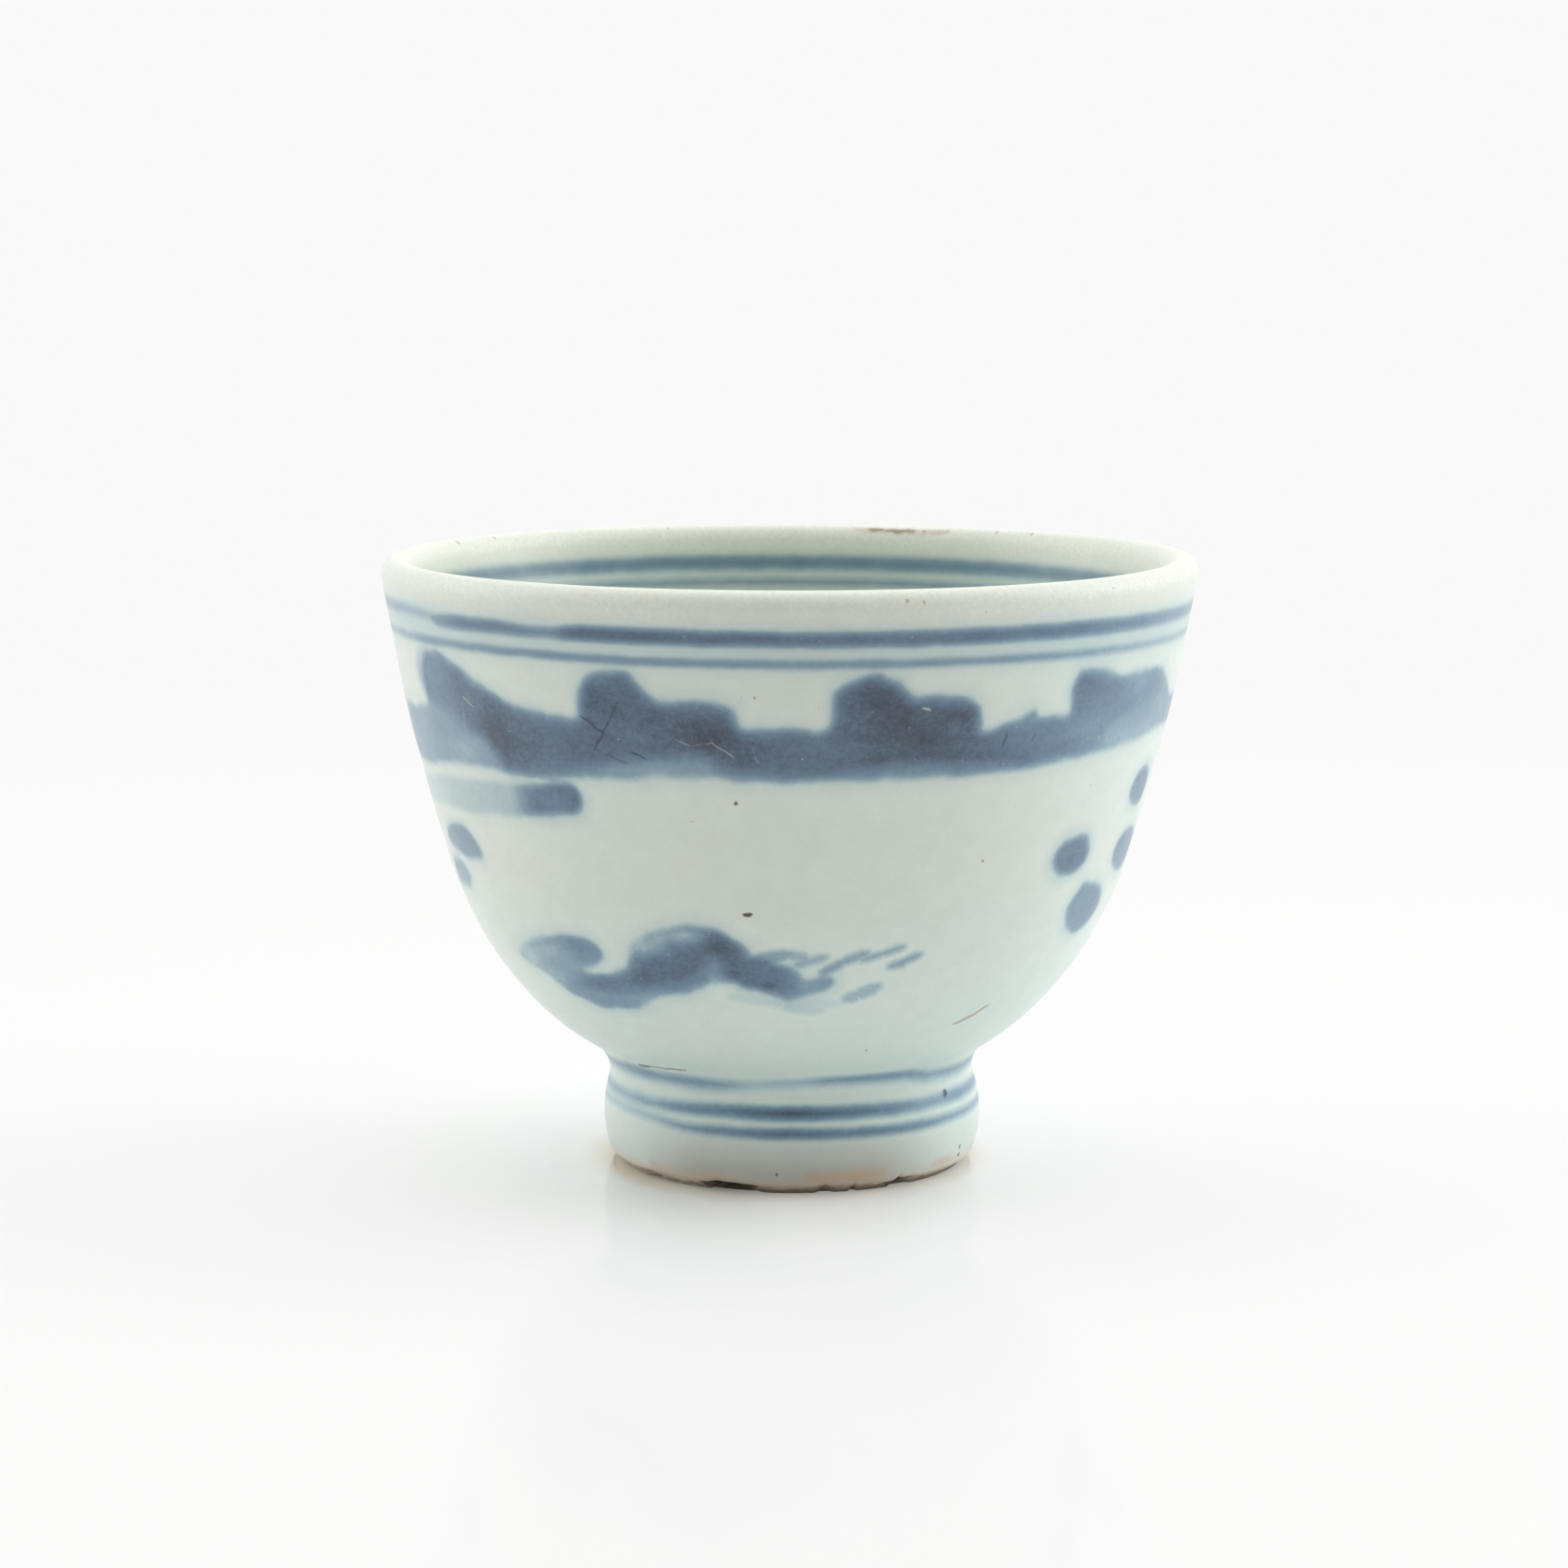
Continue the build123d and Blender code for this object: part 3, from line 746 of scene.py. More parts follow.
def calc(tree, operation, *values):
    return node(tree, "Math", values, operation=operation)


def folded(tree, operation, values):
    """One value from several, two at a time."""
    result = values[0]
    for value in values[1:]:
        result = calc(tree, operation, result, value)
    return result


def total(tree, *values):
    return folded(tree, "ADD", values)


def times(tree, *values):
    return folded(tree, "MULTIPLY", values)


def fade(tree, value, low, high, start=0.0, end=1.0):
    """Start at low and end at high, with a soft slope between."""
    values = {0: value, 1: low, 2: high, 3: start, 4: end}
    return node(tree, "MapRange", values, interpolation_type="SMOOTHSTEP")


def mix(tree, share, first, second, kind="MIX"):
    values = {0: share, 6: first, 7: second}
    return node(tree, "Mix", values, output=2, data_type="RGBA", blend_type=kind)


def noise(tree, place, scale, detail=3.0, stretch=(1, 1, 1), offset=0.0, roughness=0.5):
    """Noise of a scale per millimetre, centred on 0."""
    moved = node(tree, "VectorMath", [place, stretch], operation="MULTIPLY")
    moved = node(tree, "VectorMath", [moved, (offset, offset * 0.7, -offset)], operation="ADD")
    values = {"Vector": moved, "Scale": scale, "Detail": detail, "Roughness": roughness}
    raw = node(tree, "TexNoise", values)
    return calc(tree, "SUBTRACT", raw, 0.5)


def in_millimetres(tree):
    """Position on the cup in design millimetres."""
    place = node(tree, "TexCoord", output=3)
    return node(tree, "VectorMath", {0: place, 3: 1 / MM}, operation="SCALE")


def attribute(tree, name):
    """The three numbers of a vector on the vertices."""
    vector = node(tree, "Attribute", output=1, attribute_name=name)
    return [part_of(tree, vector, axis) for axis in range(3)]


def ramp(tree, value, stops):
    """Colours between stops of (value, colour)."""
    made = tree.nodes.new("ShaderNodeValToRGB")
    tree.links.new(value, made.inputs[0])
    elements = made.color_ramp.elements
    while len(elements) < len(stops):
        elements.new(0.5)
    for element, (position, colour) in zip(elements, stops):
        element.position = position
        element.color = (*colour, 1)
    return made.outputs[0]


def spot(tree, place, angle, height, inside=False):
    """Distance in mm from a place on the wall."""
    x, y, z = wall_point(angle, height, inside)
    return node(tree, "VectorMath", [place, (x, y, z)], output=1, operation="DISTANCE")


def wall_point(angle, height, inside=False):
    """A point of the glazed wall in mm, by angle and height, outside or inside."""
    place = up_to(height)
    if inside:
        down = WALL_PLACES > CREST
        place = np.interp(-height, -WALL_PATH[down, 1], WALL_PLACES[down])
    return skin(np.array([float(angle)]), np.array([float(place)]))[0] / MM


def segment_group():
    """Distance in mm from a straight run between two places, and the share along it."""
    tree = bpy.data.node_groups.new("along_a_stroke", "ShaderNodeTree")
    for name in ("Place", "From", "To"):
        tree.interface.new_socket(name, in_out="INPUT", socket_type="NodeSocketVector")
    for name in ("Distance", "Share"):
        tree.interface.new_socket(name, in_out="OUTPUT", socket_type="NodeSocketFloat")
    given = tree.nodes.new("NodeGroupInput").outputs
    here = node(tree, "VectorMath", [given[0], given[1]], operation="SUBTRACT")
    run = node(tree, "VectorMath", [given[2], given[1]], operation="SUBTRACT")
    along = node(tree, "VectorMath", [here, run], output=1, operation="DOT_PRODUCT")
    size = node(tree, "VectorMath", [run, run], output=1, operation="DOT_PRODUCT")
    share = node(tree, "Clamp", [calc(tree, "DIVIDE", along, size), 0.0, 1.0])
    foot = node(tree, "VectorMath", {0: run, 3: share}, operation="SCALE")
    distance = node(tree, "VectorMath", [here, foot], output=1, operation="DISTANCE")
    taken = tree.nodes.new("NodeGroupOutput").inputs
    tree.links.new(distance, taken[0])
    tree.links.new(share, taken[1])
    return tree


SEGMENT = segment_group()


def stroke(tree, place, first, last, width, soft, wobble=0.0, inside=False):
    """1 on a thin straight mark between two (angle, height) places, thinner at its ends."""
    made = tree.nodes.new("ShaderNodeGroup")
    made.node_tree = SEGMENT
    tree.links.new(place, made.inputs[0])
    made.inputs[1].default_value = wall_point(*first, inside)
    made.inputs[2].default_value = wall_point(*last, inside)
    distance, share = made.outputs
    from_middle = calc(tree, "ABSOLUTE", calc(tree, "MULTIPLY_ADD", share, 2.0, -1.0))
    middle = calc(tree, "SUBTRACT", 1.0, from_middle)
    half = calc(tree, "MULTIPLY_ADD", calc(tree, "MINIMUM", middle, 0.35), width, width * 0.65)
    beyond = calc(tree, "SUBTRACT", distance, half)
    if wobble:
        beyond = total(tree, beyond, wobble)
    return fade(tree, beyond, soft, -soft)


# ---- finishes ----
CREAM = (0.860, 0.885, 0.795, 1)
GREEN_WHITE = (0.765, 0.825, 0.745, 1)
COOL_WHITE = (0.760, 0.875, 0.830, 1)
PAPER = 0.947  # how bright the background is, as in a photograph on white


def new_material(name):
    material = bpy.data.materials.new(name)
    material.use_nodes = True
    material.node_tree.nodes.clear()
    return material, material.node_tree


def shown_as(tree, kind, surface):
    output = tree.nodes.new("ShaderNode" + kind)
    tree.links.new(surface, output.inputs["Surface"])


def finished(tree, colour, roughness, bump, specular=0.5):
    """Principled surface with a height in mm for its relief."""
    relief = node(tree, "Bump", {"Strength": 1.0, "Distance": MM, "Height": bump})
    values = {"Base Color": colour, "Roughness": roughness, "Normal": relief}
    values["Specular IOR Level"] = specular
    surface = node(tree, "BsdfPrincipled", values)
    shown_as(tree, "OutputMaterial", surface)


def part_of(tree, vector, axis):
    """One of a vector's numbers: 0, 1 or 2."""
    return node(tree, "SeparateXYZ", [vector], output=axis)


def height_of(tree, place):
    return part_of(tree, place, 2)


def glaze_colour_and_side_light(tree, place):
    """The glaze's colour: cool and a little green, uneven, bluer towards the foot, warm where it is thin
    at the lip. Towards the right (+X) it is tinted cooler as painted light, standing for the cooler
    light that falls on that side.
    """
    height = height_of(tree, place)
    clouds = times(tree, noise(tree, place, 0.05, 3.0), 1.2)
    # Painted light: cooler glaze towards the right (+X) side, standing for the cooler light on that
    # side. Every glaze that takes this colour gets it.
    right = fade(tree, part_of(tree, place, 0), 8.0, 26.0, 0.0, 0.45)
    cool = total(tree, clouds, right, fade(tree, height, 27.0, 10.0, 0.2, 0.95))
    cool = node(tree, "Clamp", [cool, 0.0, 1.0])
    colour = mix(tree, cool, GREEN_WHITE, COOL_WHITE)
    mottle = noise(tree, place, 0.6, 4.0, offset=3.1)
    shade = calc(tree, "MULTIPLY_ADD", mottle, 0.10, 1.0)
    colour = node(tree, "VectorMath", {0: colour, 3: shade}, operation="SCALE")
    uneven = noise(tree, place, 0.25, 3.0, offset=7.7)
    level = calc(tree, "MULTIPLY_ADD", uneven, 2.5, height)
    lip = fade(tree, level, 44.2, 48.0, 0.0, 0.9)
    colour = mix(tree, lip, colour, CREAM)
    grain = times(tree, noise(tree, place, 3.0, 4.0, offset=5.2, roughness=0.7), 0.40)
    fine = times(tree, noise(tree, place, 7.0, 2.0, offset=0.4), 0.10)
    shade = calc(tree, "MULTIPLY_ADD", grain, lip, total(tree, fine, 1.0))
    return node(tree, "VectorMath", {0: colour, 3: shade}, operation="SCALE")


def inked(tree, glaze, ink):
    """Glaze seen over cobalt of some strength: pale wash to blue-black."""
    strength = calc(tree, "DIVIDE", ink, 1.5)
    stops = [
        (0.0, (1.0, 1.0, 1.0)), (0.1, (0.74, 0.83, 0.90)), (0.3, (0.365, 0.485, 0.645)),
        (0.5, (0.238, 0.340, 0.505)), (0.667, (0.175, 0.245, 0.390)),
        (0.833, (0.112, 0.148, 0.240)), (1.0, (0.075, 0.082, 0.125)),
    ]
    tint = ramp(tree, strength, stops)
    return mix(tree, 1.0, glaze, tint, kind="MULTIPLY")


def laid(tree, name, blur, wobble, halo=0.0):
    """Ink of a wash on the vertices, with soft uneven edges, and the blue that bled around it."""
    depth, ink, _ = attribute(tree, name)
    edge = total(tree, depth, wobble)
    cover = fade(tree, edge, 0.12 - blur, 0.12 + blur, 0.0, 1.0 - halo)
    bled = fade(tree, edge, -1.5, 0.3, 0.0, halo)
    return times(tree, total(tree, cover, bled), ink)


def lined(tree, lines, wobble):
    """Ink of the ring lines on the vertices."""
    inks = []
    for name, (_, blur) in lines.items():
        offset, ink, half = attribute(tree, name)
        away = calc(tree, "ABSOLUTE", total(tree, offset, wobble))
        cover = fade(tree, calc(tree, "SUBTRACT", away, half), blur, -blur)
        inks.append(times(tree, cover, ink))
    return total(tree, *inks)


REEDS = [
    ((-5.5, 20.4), (0.5, 20.9), 0.52, 0.44), ((0.3, 20.85), (3.2, 20.5), 0.46, 0.36),
    ((1.5, 20.0), (6.3, 20.6), 0.40, 0.36), ((6, 19.4), (9.5, 20.2), 0.42, 0.42),
    ((9.3, 20.2), (13.3, 20.85), 0.42, 0.42), ((12.6, 20.3), (16.2, 20.8), 0.34, 0.40),
    ((16, 20.75), (19.3, 21.2), 0.35, 0.40), ((17.8, 19.7), (20.4, 20.0), 0.42, 0.40),
    ((20.0, 20.05), (22.8, 20.5), 0.34, 0.40), ((10.8, 17.1), (12.8, 17.4), 0.56, 0.32),
    ((12.6, 17.4), (16, 18.0), 0.60, 0.36), ((-2, 19.6), (3.5, 20.2), 0.45, 0.16),
    ((-13.8, 18.8), (-9.5, 19.1), 0.7, 0.22), ((0, 16.4), (6, 16.2), 0.6, 0.12),
    ((-10, 17.2), (9, 16.7), 0.55, 0.10), ((211, 20.6), (217, 21.2), 0.30, 0.5),
    ((216.6, 21.2), (222, 21.6), 0.26, 0.45), ((220, 20.2), (226, 20.8), 0.28, 0.5),
    ((219, 17.4), (223, 18.2), 0.38, 0.5),
]


def reeds(tree, place, wobble):
    """Ink of the thin dashes, and of the faint streaks about the islet."""
    marks = [
        times(tree, stroke(tree, place, first, last, width, 0.4, wobble), ink)
        for first, last, width, ink in REEDS
    ]
    return folded(tree, "MAXIMUM", marks)


def painting(tree, place):
    """All the ink outside, with a faint haze of blue about the rim lines."""
    wobble = times(tree, noise(tree, place, 0.45, 1.0, offset=1.3), 0.5)
    ragged = times(tree, noise(tree, place, 1.5, 1.0, offset=5.9), 0.08)
    edge = total(tree, wobble, ragged)
    fine = times(tree, edge, 0.35)
    brushwork = total(tree, laid(tree, "wash", 0.48, edge, 0.16), laid(tree, "second", 0.9, edge))
    clouds = noise(tree, place, 0.22, 4.0, stretch=(1, 1, 1.8), offset=2.2, roughness=0.6)
    grain = noise(tree, place, 2.2, 5.0, stretch=(1, 1, 1.3), offset=4.4, roughness=0.7)
    thickness = total(tree, times(tree, clouds, 0.6), times(tree, grain, 0.6), 1.0)
    lines = lined(tree, OUTSIDE_LINES, fine)
    drawn = total(tree, brushwork, lines, reeds(tree, place, fine))
    height = height_of(tree, place)
    haze = times(tree, fade(tree, height, 41.2, 43.4), fade(tree, height, 46.6, 44.8, 0.0, 0.13))
    return total(tree, times(tree, drawn, thickness), haze)


def speckled(tree, place, colour, scale, radius, chance, tint, share):
    """Small random specks of a tint."""
    values = {"Vector": place, "Scale": scale}
    distance = node(tree, "TexVoronoi", values, output=0)
    picked = node(tree, "TexVoronoi", values, output=1)
    lot = part_of(tree, picked, 0)
    size = times(tree, fade(tree, lot, 1 - chance, 1.0), radius * scale)
    cover = fade(tree, calc(tree, "SUBTRACT", distance, size), 0.03 * scale, -0.03 * scale)
    return mix(tree, times(tree, cover, share), colour, tint)


SPOTS = [  # (angle, height, radius, colour, strength)
    (-7.5, 32.5, 0.17, (0.14, 0.09, 0.05), 0.9), (-14, 31, 0.10, (0.25, 0.22, 0.15), 0.7),
    (-4.5, 40.4, 0.10, (0.20, 0.18, 0.14), 0.5), (15.2, 47.3, 0.17, (0.42, 0.33, 0.20), 0.6),
    (17.4, 47.2, 0.11, (0.42, 0.33, 0.20), 0.6), (48, 47.3, 0.12, (0.42, 0.33, 0.20), 0.5),
    (55.5, 6.7, 0.34, (0.05, 0.06, 0.10), 0.9), (62.5, 2.1, 0.22, (0.10, 0.08, 0.06), 0.8),
    (63, 1.4, 0.18, (0.10, 0.08, 0.06), 0.8), (-4.5, 1.7, 0.16, (0.16, 0.12, 0.08), 0.8),
    (31, 27.6, 0.10, (0.25, 0.20, 0.14), 0.6), (18, 12.2, 0.12, (0.25, 0.20, 0.14), 0.6),
    (146, 26, 0.22, (0.16, 0.11, 0.07), 0.8), (236, 15, 0.2, (0.16, 0.11, 0.07), 0.8),
]
SCRATCHES = [  # (from, to, half width, colour, strength)
    ((-7.0, 23.95), (-5.6, 24.05), 0.17, (0.07, 0.04, 0.02), 0.95),
    ((-49, 9.2), (-44, 9.4), 0.18, (0.13, 0.08, 0.04), 0.9),
    ((-44, 9.4), (-30, 9.65), 0.13, (0.24, 0.16, 0.09), 0.85),
    ((37, 13.9), (44, 15.3), 0.17, (0.44, 0.34, 0.20), 0.8),
    ((-29.5, 38.5), (-20, 35.5), 0.11, (0.045, 0.060, 0.100), 0.75),
    ((-23.5, 39.8), (-28, 36.1), 0.11, (0.045, 0.060, 0.100), 0.65),
    ((-28, 36.1), (-23, 35.2), 0.08, (0.060, 0.075, 0.110), 0.5),
    ((-52.5, 39.0), (-50, 38.3), 0.06, (0.6, 0.62, 0.60), 0.6),
    ((-53, 38.5), (-53.5, 36.6), 0.05, (0.5, 0.54, 0.56), 0.5),
    ((-15.5, 37.2), (-13.5, 36.8), 0.05, (0.50, 0.51, 0.48), 0.5),
    ((-13.5, 36.8), (-10.5, 37.0), 0.05, (0.45, 0.46, 0.44), 0.45),
    ((-10.5, 37.0), (-7.6, 36.0), 0.05, (0.55, 0.55, 0.50), 0.55),
    ((-4.9, 36.7), (-4.2, 35.6), 0.05, (0.45, 0.48, 0.52), 0.5),
    ((31.7, 37.5), (31.2, 36.2), 0.09, (0.050, 0.065, 0.110), 0.7),
    ((36.6, 37.1), (36.2, 36.5), 0.08, (0.050, 0.065, 0.110), 0.5),
    ((18.4, 39.5), (19.4, 39.3), 0.06, (0.72, 0.70, 0.62), 0.8),
]


def flawed(tree, place, colour):
    """Pinholes, fine cracks and scratches, at their places in front and guessed behind."""
    ragged = times(tree, noise(tree, place, 2.6, 3.0, offset=9.3), 0.5)
    for angle, height, radius, tint, share in SPOTS:
        away = total(tree, spot(tree, place, angle, height), ragged)
        cover = times(tree, fade(tree, away, radius * 1.25, radius * 0.5), share)
        colour = mix(tree, cover, colour, (*tint, 1))
    bend = node(tree, "TexNoise", {"Vector": place, "Scale": 0.8}, output=1)
    bend = node(tree, "VectorMath", [bend, (0.5, 0.5, 0.5)], operation="SUBTRACT")
    bent = node(tree, "VectorMath", [bend, (0.55, 0.55, 0.55), place], operation="MULTIPLY_ADD")
    for first, last, width, tint, share in SCRATCHES:
        cover = times(tree, stroke(tree, bent, first, last, width, 0.07), share)
        colour = mix(tree, cover, colour, (*tint, 1))
    return colour


FLASHES = [  # (from, to, half width, strength) of the orange at the foot
    ((5, 1.5), (28, 1.5), 0.55, 0.55), ((-48, 1.2), (-22, 1.1), 0.35, 0.4),
    ((49, 1.4), (57, 1.5), 0.35, 0.4), ((120, 1.3), (150, 1.2), 0.5, 0.45),
    ((205, 1.3), (228, 1.3), 0.4, 0.4),
]


def flashed_and_shaded(tree, place, colour):
    """Rosy edge of the glaze at the foot, orange where the kiln's flame caught it, and painted shade:
    grey over the middle of the foot, front and back.
    """
    height = height_of(tree, place)
    uneven = calc(tree, "MULTIPLY_ADD", noise(tree, place, 0.45, 3.0, offset=6.6), 1.2, height)
    side = calc(tree, "ABSOLUTE", part_of(tree, place, 0))
    # Painted shade: up to 85 % grey over the foot below 6.5 mm, fullest where |x| < 6 mm, front and back
    # alike, standing for the dim light on the foot's middle.
    painted_foot_shade = times(tree, fade(tree, height, 6.5, 1.0, 0.0, 0.85), fade(tree, side, 13.0, 6.0, 0.2, 1.0))
    colour = mix(tree, painted_foot_shade, colour, (0.49, 0.475, 0.43, 1))
    colour = mix(tree, fade(tree, uneven, 1.9, 0.6, 0.0, 0.5), colour, (0.74, 0.58, 0.48, 1))
    rough = times(tree, noise(tree, place, 0.9, 3.0, offset=3.6), 1.0)
    for first, last, width, share in FLASHES:
        cover = stroke(tree, place, first, last, width, 0.45, rough)
        colour = mix(tree, times(tree, cover, share), colour, (0.66, 0.42, 0.25, 1))
    return colour


def glaze_relief(tree, place):
    """The slight orange peel of a fired glaze, in mm."""
    broad = times(tree, noise(tree, place, 0.35, 2.0, offset=8.1), 0.030)
    small = times(tree, noise(tree, place, 1.8, 2.0, offset=1.9), 0.006)
    height = height_of(tree, place)
    lip = fade(tree, height, 45.8, 47.2)
    grain = times(tree, noise(tree, place, 5.0, 4.0, offset=2.9), 0.012)
    return total(tree, broad, small, times(tree, lip, grain))


def glaze_roughness(tree, place):
    """Soft gloss, duller on the lip. Lower values drew a false thin line along the lip."""
    worn = calc(tree, "MULTIPLY_ADD", noise(tree, place, 0.4, 4.0, offset=6.1), 0.08, 0.315)
    return total(tree, worn, fade(tree, height_of(tree, place), 46.0, 47.4, 0.0, 0.12))


def outside_finish():
    material, tree = new_material("painted_glaze_outside")
    place = in_millimetres(tree)
    glaze = glaze_colour_and_side_light(tree, place)
    glaze = speckled(tree, place, glaze, 0.35, 0.11, 0.3, (0.30, 0.24, 0.16, 1), 0.5)
    glaze = flashed_and_shaded(tree, place, glaze)
    colour = inked(tree, glaze, painting(tree, place))
    colour = speckled(tree, place, colour, 0.9, 0.08, 0.35, (0.62, 0.66, 0.66, 1), 0.5)
    colour = speckled(tree, place, colour, 2.3, 0.06, 0.3, (0.60, 0.65, 0.66, 1), 0.4)
    colour = flawed(tree, place, colour)
    finished(tree, colour, glaze_roughness(tree, place), glaze_relief(tree, place))
    return material


STAIN_HEIGHT = 47.7
LIP_STAINS = [  # (from, to, half width, softness, strength, colour), by angle at the back of the lip
    (169, 153, 0.32, 0.25, 0.4, (0.42, 0.28, 0.15)),
    (167, 157, 0.13, 0.12, 0.6, (0.24, 0.14, 0.07)),
]
SPOT_HEIGHT = 47.8
LIP_SPOTS = [(-116, 0.3), (-126, 0.2), (144, 0.22), (137, 0.2), (-160, 0.12)]  # (angle, radius)


def inside_finish():
    material, tree = new_material("painted_glaze_inside")
    place = in_millimetres(tree)
    glaze = glaze_colour_and_side_light(tree, place)
    height = height_of(tree, place)
    # Painted shade: the inside glaze darkened below the lip, standing for the shade inside the bowl.
    painted_shade = fade(tree, height, 47.2, 45.2)
    glaze = mix(tree, painted_shade, glaze, (0.86, 0.86, 0.84, 1), kind="MULTIPLY")
    glaze = speckled(tree, place, glaze, 0.3, 0.12, 0.3, (0.34, 0.27, 0.18, 1), 0.6)
    wobble = times(tree, noise(tree, place, 0.55, 3.0, offset=1.3), 0.25)
    lines = lined(tree, INSIDE_LINES, wobble)
    clouds = calc(tree, "MULTIPLY_ADD", noise(tree, place, 0.4, 4.0, offset=5.5), 0.7, 1.0)
    haze = times(tree, fade(tree, height, 41.5, 43.5), fade(tree, height, 46.4, 45.2))
    ink = calc(tree, "MULTIPLY_ADD", lines, clouds, times(tree, haze, 0.08))
    colour = inked(tree, glaze, ink)
    stain = times(tree, noise(tree, place, 0.9, 4.0, offset=3.7), 0.9)
    for first, last, width, soft, share, tint in LIP_STAINS:
        worn = stroke(tree, place, (first, STAIN_HEIGHT), (last, STAIN_HEIGHT), width, soft, stain, True)
        colour = mix(tree, times(tree, worn, share), colour, (*tint, 1))
    for angle, radius in LIP_SPOTS:
        away = spot(tree, place, angle, SPOT_HEIGHT, True)
        cover = fade(tree, away, radius * 1.3, radius * 0.5, 0.0, 0.45)
        colour = mix(tree, cover, colour, (0.36, 0.23, 0.12, 1))
    finished(tree, colour, glaze_roughness(tree, place), glaze_relief(tree, place))
    return material


def base_finish():
    material, tree = new_material("plain_glaze_base")
    place = in_millimetres(tree)
    glaze = glaze_colour_and_side_light(tree, place)
    glaze = speckled(tree, place, glaze, 0.4, 0.14, 0.4, (0.30, 0.24, 0.16, 1), 0.7)
    finished(tree, glaze, glaze_roughness(tree, place), glaze_relief(tree, place))
    return material


def paste_finish():
    """Bare fired clay: rough, warm white, with grit in it, darkened by painted shade at its outer low
    edge and in the chips, standing for the contact shadow under the foot.
    """
    material, tree = new_material("bare_paste")
    place = in_millimetres(tree)
    clouds = noise(tree, place, 0.3, 4.0, offset=4.1)
    share = calc(tree, "MULTIPLY_ADD", clouds, 2.2, 0.5)
    colour = mix(tree, share, (0.84, 0.80, 0.73, 1), (0.74, 0.62, 0.52, 1))
    colour = speckled(tree, place, colour, 1.4, 0.10, 0.4, (0.16, 0.12, 0.09, 1), 0.8)
    flat = node(tree, "VectorMath", [place, (1, 1, 0)], operation="MULTIPLY")
    radius = node(tree, "VectorMath", [flat], output=1, operation="LENGTH")
    uneven = noise(tree, place, 0.8, 3.0, offset=7.1)
    level = calc(tree, "MULTIPLY_ADD", uneven, 0.4, height_of(tree, place))
    # Painted shade: near-black brown low on the outer edge, where the foot meets the floor.
    painted_edge_shade = times(tree, fade(tree, level, 0.55, 0.25), fade(tree, radius, 13.2, 13.6, 0.0, 0.7))
    # Painted shade in the hollow of each chip.
    for angle, reach, depth in FOOT_CHIPS:
        wide = math.radians(reach) * REST[1][0]
        away = spot(tree, place, angle, WALL_PATH[0, 1])
        hollow = fade(tree, away, 1.7 + wide, 0.9 + wide, 0.0, min(1, 2.8 * depth))
        painted_edge_shade = calc(tree, "MAXIMUM", painted_edge_shade, hollow)
    colour = mix(tree, times(tree, painted_edge_shade, 0.88), colour, (0.11, 0.085, 0.055, 1))
    grit = times(tree, noise(tree, place, 4.0, 5.0, offset=2.1, roughness=0.7), 0.06)
    finished(tree, colour, 0.8, grit, specular=0.3)
    return material


# ---- the pieces ----
def dress(piece, material, nodes):
    """Gives a piece its material, and lets it stand for CAD nodes."""
    piece.data.materials.append(material)
    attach(piece, "root")
    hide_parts(*nodes)


WASH_NODES = ["shoreline_band", "sandbar_strokes", "islet_strokes", "reed_strokes", "leaf_dabs"]
OUTSIDE_NODES = ["outside_glaze", *OUTSIDE_LINES, *WASH_NODES]
INSIDE_NODES = ["inside_glaze", *INSIDE_LINES]

outside = outside_coat()
paint_washes(outside)
paint_lines(outside, OUTSIDE_LINES)
dress(outside, outside_finish(), OUTSIDE_NODES)

inside = inside_coat()
paint_lines(inside, INSIDE_LINES)
dress(inside, inside_finish(), INSIDE_NODES)

dress(base_coat(), base_finish(), ["base_glaze"])
dress(paste_body(), paste_finish(), ["porcelain_body"])


# ---- floor, light and camera ----
FLOOR_RADIUS = 3.0  # this and all that follows in metres
FLOOR_GAP = 0.00002
LIGHT_SIZE = 0.45
LIGHT_AIM = (0, 0, 0.025)
CAMERA_PLACE = (-0.00028, -0.304, 0.0734)
CAMERA_TILT = 81.84
CAMERA_ROLL = 0.24
CAMERA_LENS = 89.0


def behind(tree, y):
    """Power of the room's light by direction: bright behind the cup, dimmer on the camera's side."""
    return fade(tree, y, -0.75, 0.40, 0.365, 0.97)


def floor_finish():
    """Pale paper near the cup, which takes real shadow and passes into the white of the background. For
    the camera, more paper close to the cup and on its left paints a darker shadow there, and a warm tan
    disc under the foot is painted shade.
    """
    material, tree = new_material("pale_floor")
    place = node(tree, "TexCoord", output=3)
    away = node(tree, "VectorMath", [place], output=1, operation="LENGTH")
    seen = node(tree, "LightPath", output=0)
    x, y = part_of(tree, place, 0), part_of(tree, place, 1)
    # Painted shadow: for camera rays, more paper (darker than the white glow) close to the cup and on
    # its left, shaping the cup's shadow. Near the cup the paper also shows the real shadow.
    left = times(tree, fade(tree, x, 0.004, -0.014), fade(tree, away, 0.05, 0.025, 0.0, 0.26))
    close = total(tree, left, fade(tree, away, 0.036, 0.014, 0.36, 0.72))
    shown = node(tree, "Mix", {0: seen, 2: 1.0, 3: close}, output=0, data_type="FLOAT")
    share = times(tree, fade(tree, away, 0.35, 0.05), shown)
    # Painted shade: a warm tan disc under and just round the foot, darker and warmer where the cup
    # stands.
    under = fade(tree, away, 0.0168, 0.0143)
    tint = mix(tree, under, (0.90, 0.90, 0.895, 1), (0.80, 0.77, 0.66, 1))
    values = {"Base Color": tint, "Roughness": 0.12, "Specular IOR Level": 0.5}
    paper = node(tree, "BsdfPrincipled", values)
    toward = calc(tree, "DIVIDE", y, calc(tree, "MAXIMUM", away, 0.001))
    power = node(tree, "Mix", {0: seen, 2: behind(tree, toward), 3: PAPER}, output=0, data_type="FLOAT")
    glow = node(tree, "Emission", [(1, 1, 1, 1), power])
    surface = node(tree, "MixShader", [share, glow, paper])
    shown_as(tree, "OutputMaterial", surface)
    return material


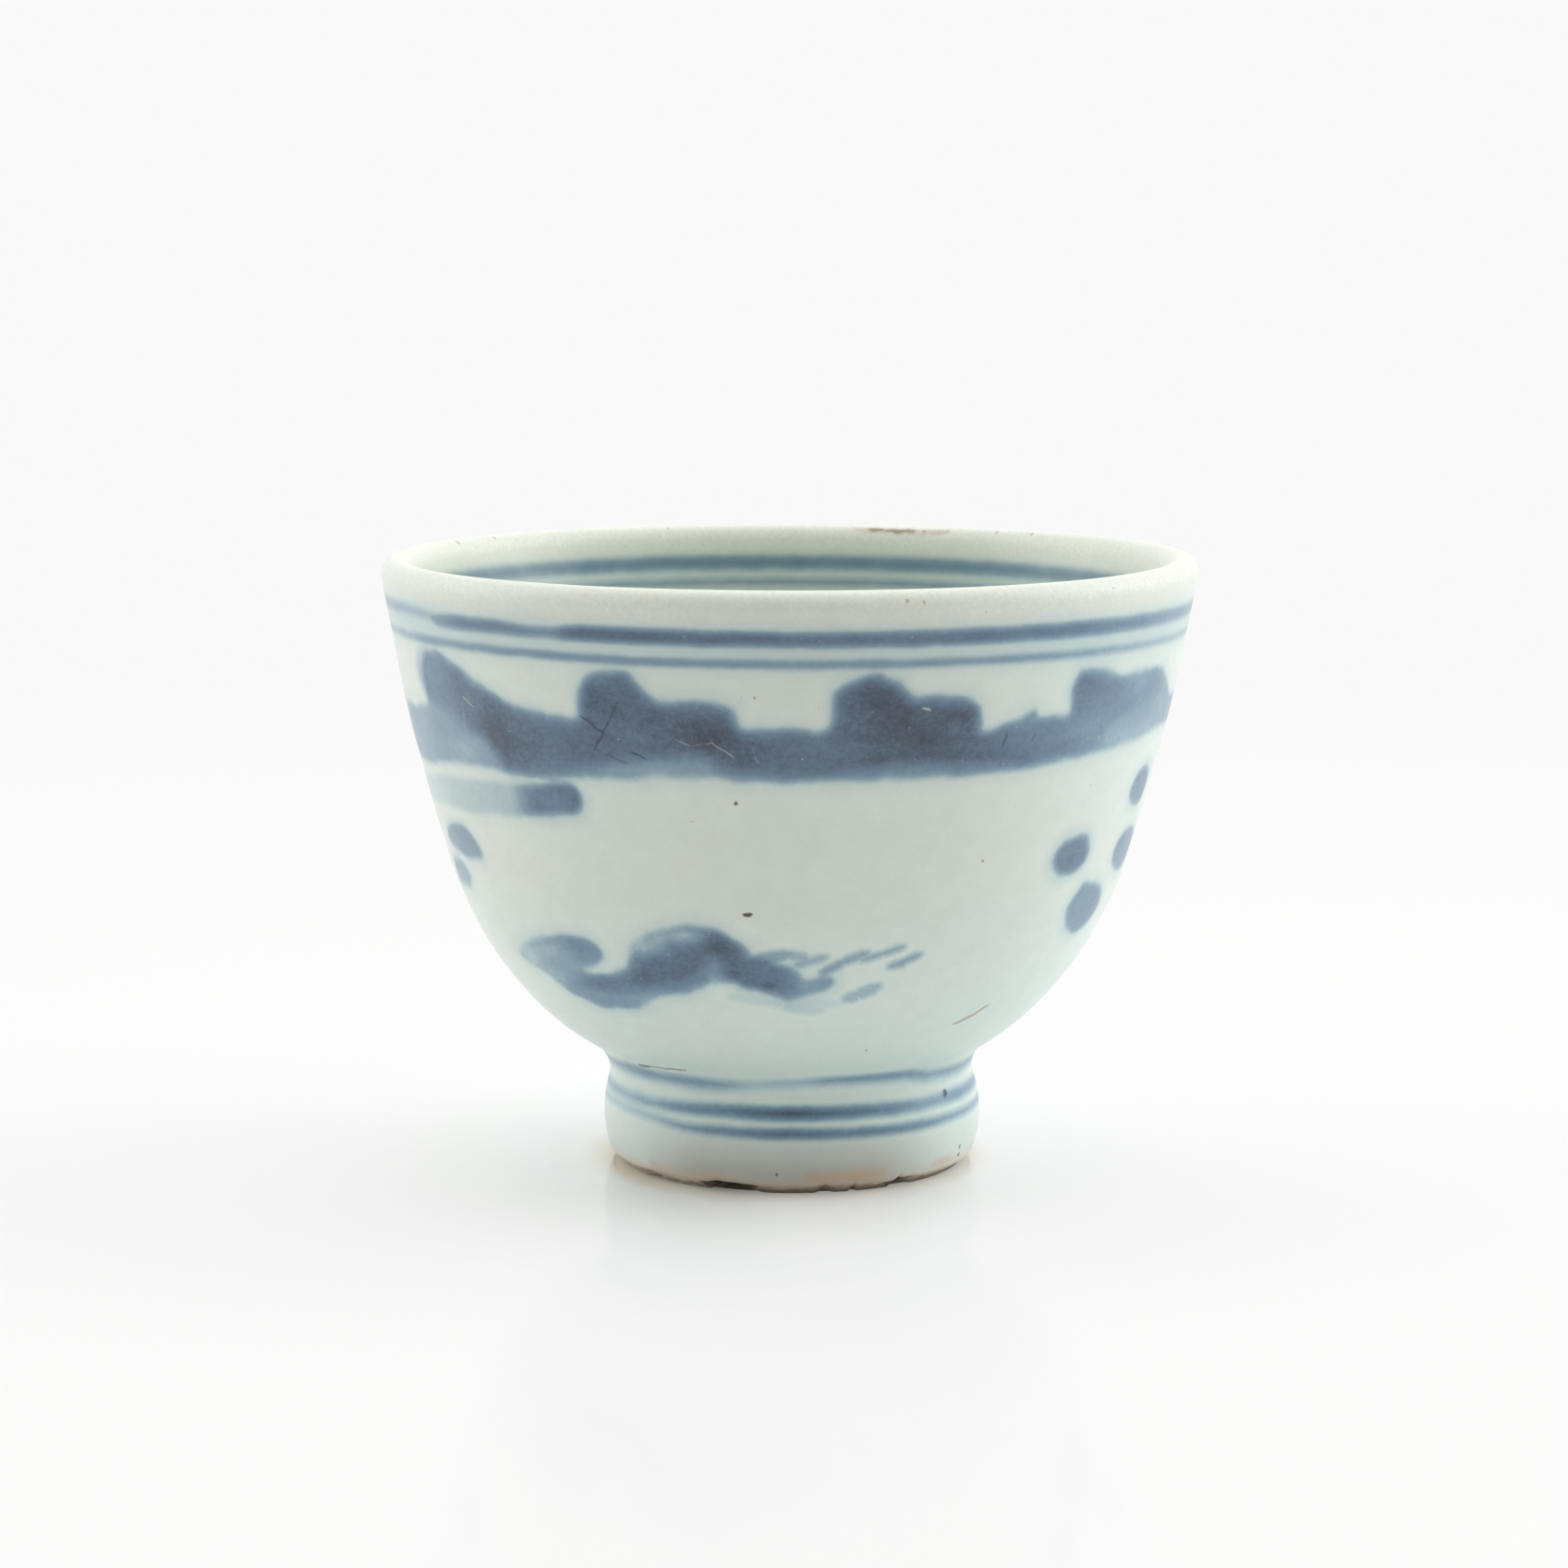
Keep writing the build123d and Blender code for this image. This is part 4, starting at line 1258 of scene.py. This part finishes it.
def make_floor():
    turns = np.radians(np.arange(0, 360, 5))
    rings = [0.2, 0.6, 1.4, FLOOR_RADIUS]
    vertices = [(0, 0, 0)]
    for radius in rings:
        vertices += [(radius * math.cos(t), radius * math.sin(t), 0) for t in turns]
    count = len(turns)
    faces = [(0, 1 + j, 1 + (j + 1) % count) for j in range(count)]
    for k in range(len(rings) - 1):
        a, b = 1 + k * count, 1 + (k + 1) * count
        faces += [(a + j, b + j, b + (j + 1) % count, a + (j + 1) % count) for j in range(count)]
    mesh = bpy.data.meshes.new("floor")
    mesh.from_pydata(vertices, [], faces)
    mesh.materials.append(floor_finish())
    floor = added("floor", mesh)
    floor.location = (0, 0, -FLOOR_GAP)


def make_world():
    """White seen directly; as light, a bright room behind and beside, dimmer by the camera."""
    world = bpy.data.worlds.new("white_room")
    world.use_nodes = True
    tree = world.node_tree
    tree.nodes.clear()
    direction = node(tree, "TexCoord", output=0)
    x, y, z = [part_of(tree, direction, axis) for axis in range(3)]
    level = behind(tree, y)
    above = fade(tree, z, 0.3, 0.95, 1.0, 1.5)
    side = calc(tree, "MULTIPLY_ADD", x, 0.05, 1.0)
    power = times(tree, times(tree, level, above), side)
    seen = node(tree, "LightPath", output=0)
    strength = node(tree, "Mix", {0: seen, 2: power, 3: PAPER}, output=0, data_type="FLOAT")
    warm = mix(tree, total(tree, level, seen), (1.0, 0.975, 0.90, 1), (1.0, 1.0, 1.0, 1))
    background = node(tree, "Background", [warm, strength])
    shown_as(tree, "OutputWorld", background)
    bpy.context.scene.world = world


def soft_light(name, place, watts):
    """A square soft light that faces the cup."""
    data = bpy.data.lights.new(name, "AREA")
    data.size = LIGHT_SIZE
    data.energy = watts
    light = added(name, data)
    light.location = place
    aim = added(name + "_aim", None)
    aim.location = LIGHT_AIM
    turn = light.constraints.new("TRACK_TO")
    turn.target = aim


def make_camera():
    data = bpy.data.cameras.new("photo_camera")
    data.sensor_width = 36.0
    data.lens = CAMERA_LENS
    data.clip_start = 0.01
    data.clip_end = 20.0
    camera = added("photo_camera", data)
    camera.location = CAMERA_PLACE
    camera.rotation_euler = (math.radians(CAMERA_TILT), 0.0, 0.0)
    camera.rotation_euler.rotate_axis("Z", math.radians(CAMERA_ROLL))
    bpy.context.scene.camera = camera


make_floor()
make_world()
soft_light("left_soft_light", (-0.55, 0.10, 0.30), 0.85)
soft_light("right_soft_light", (0.55, 0.12, 0.32), 1.45)
make_camera()

scene = bpy.context.scene
scene.view_settings.view_transform = "Standard"
scene.view_settings.look = "None"

bpy.context.view_layer.update()
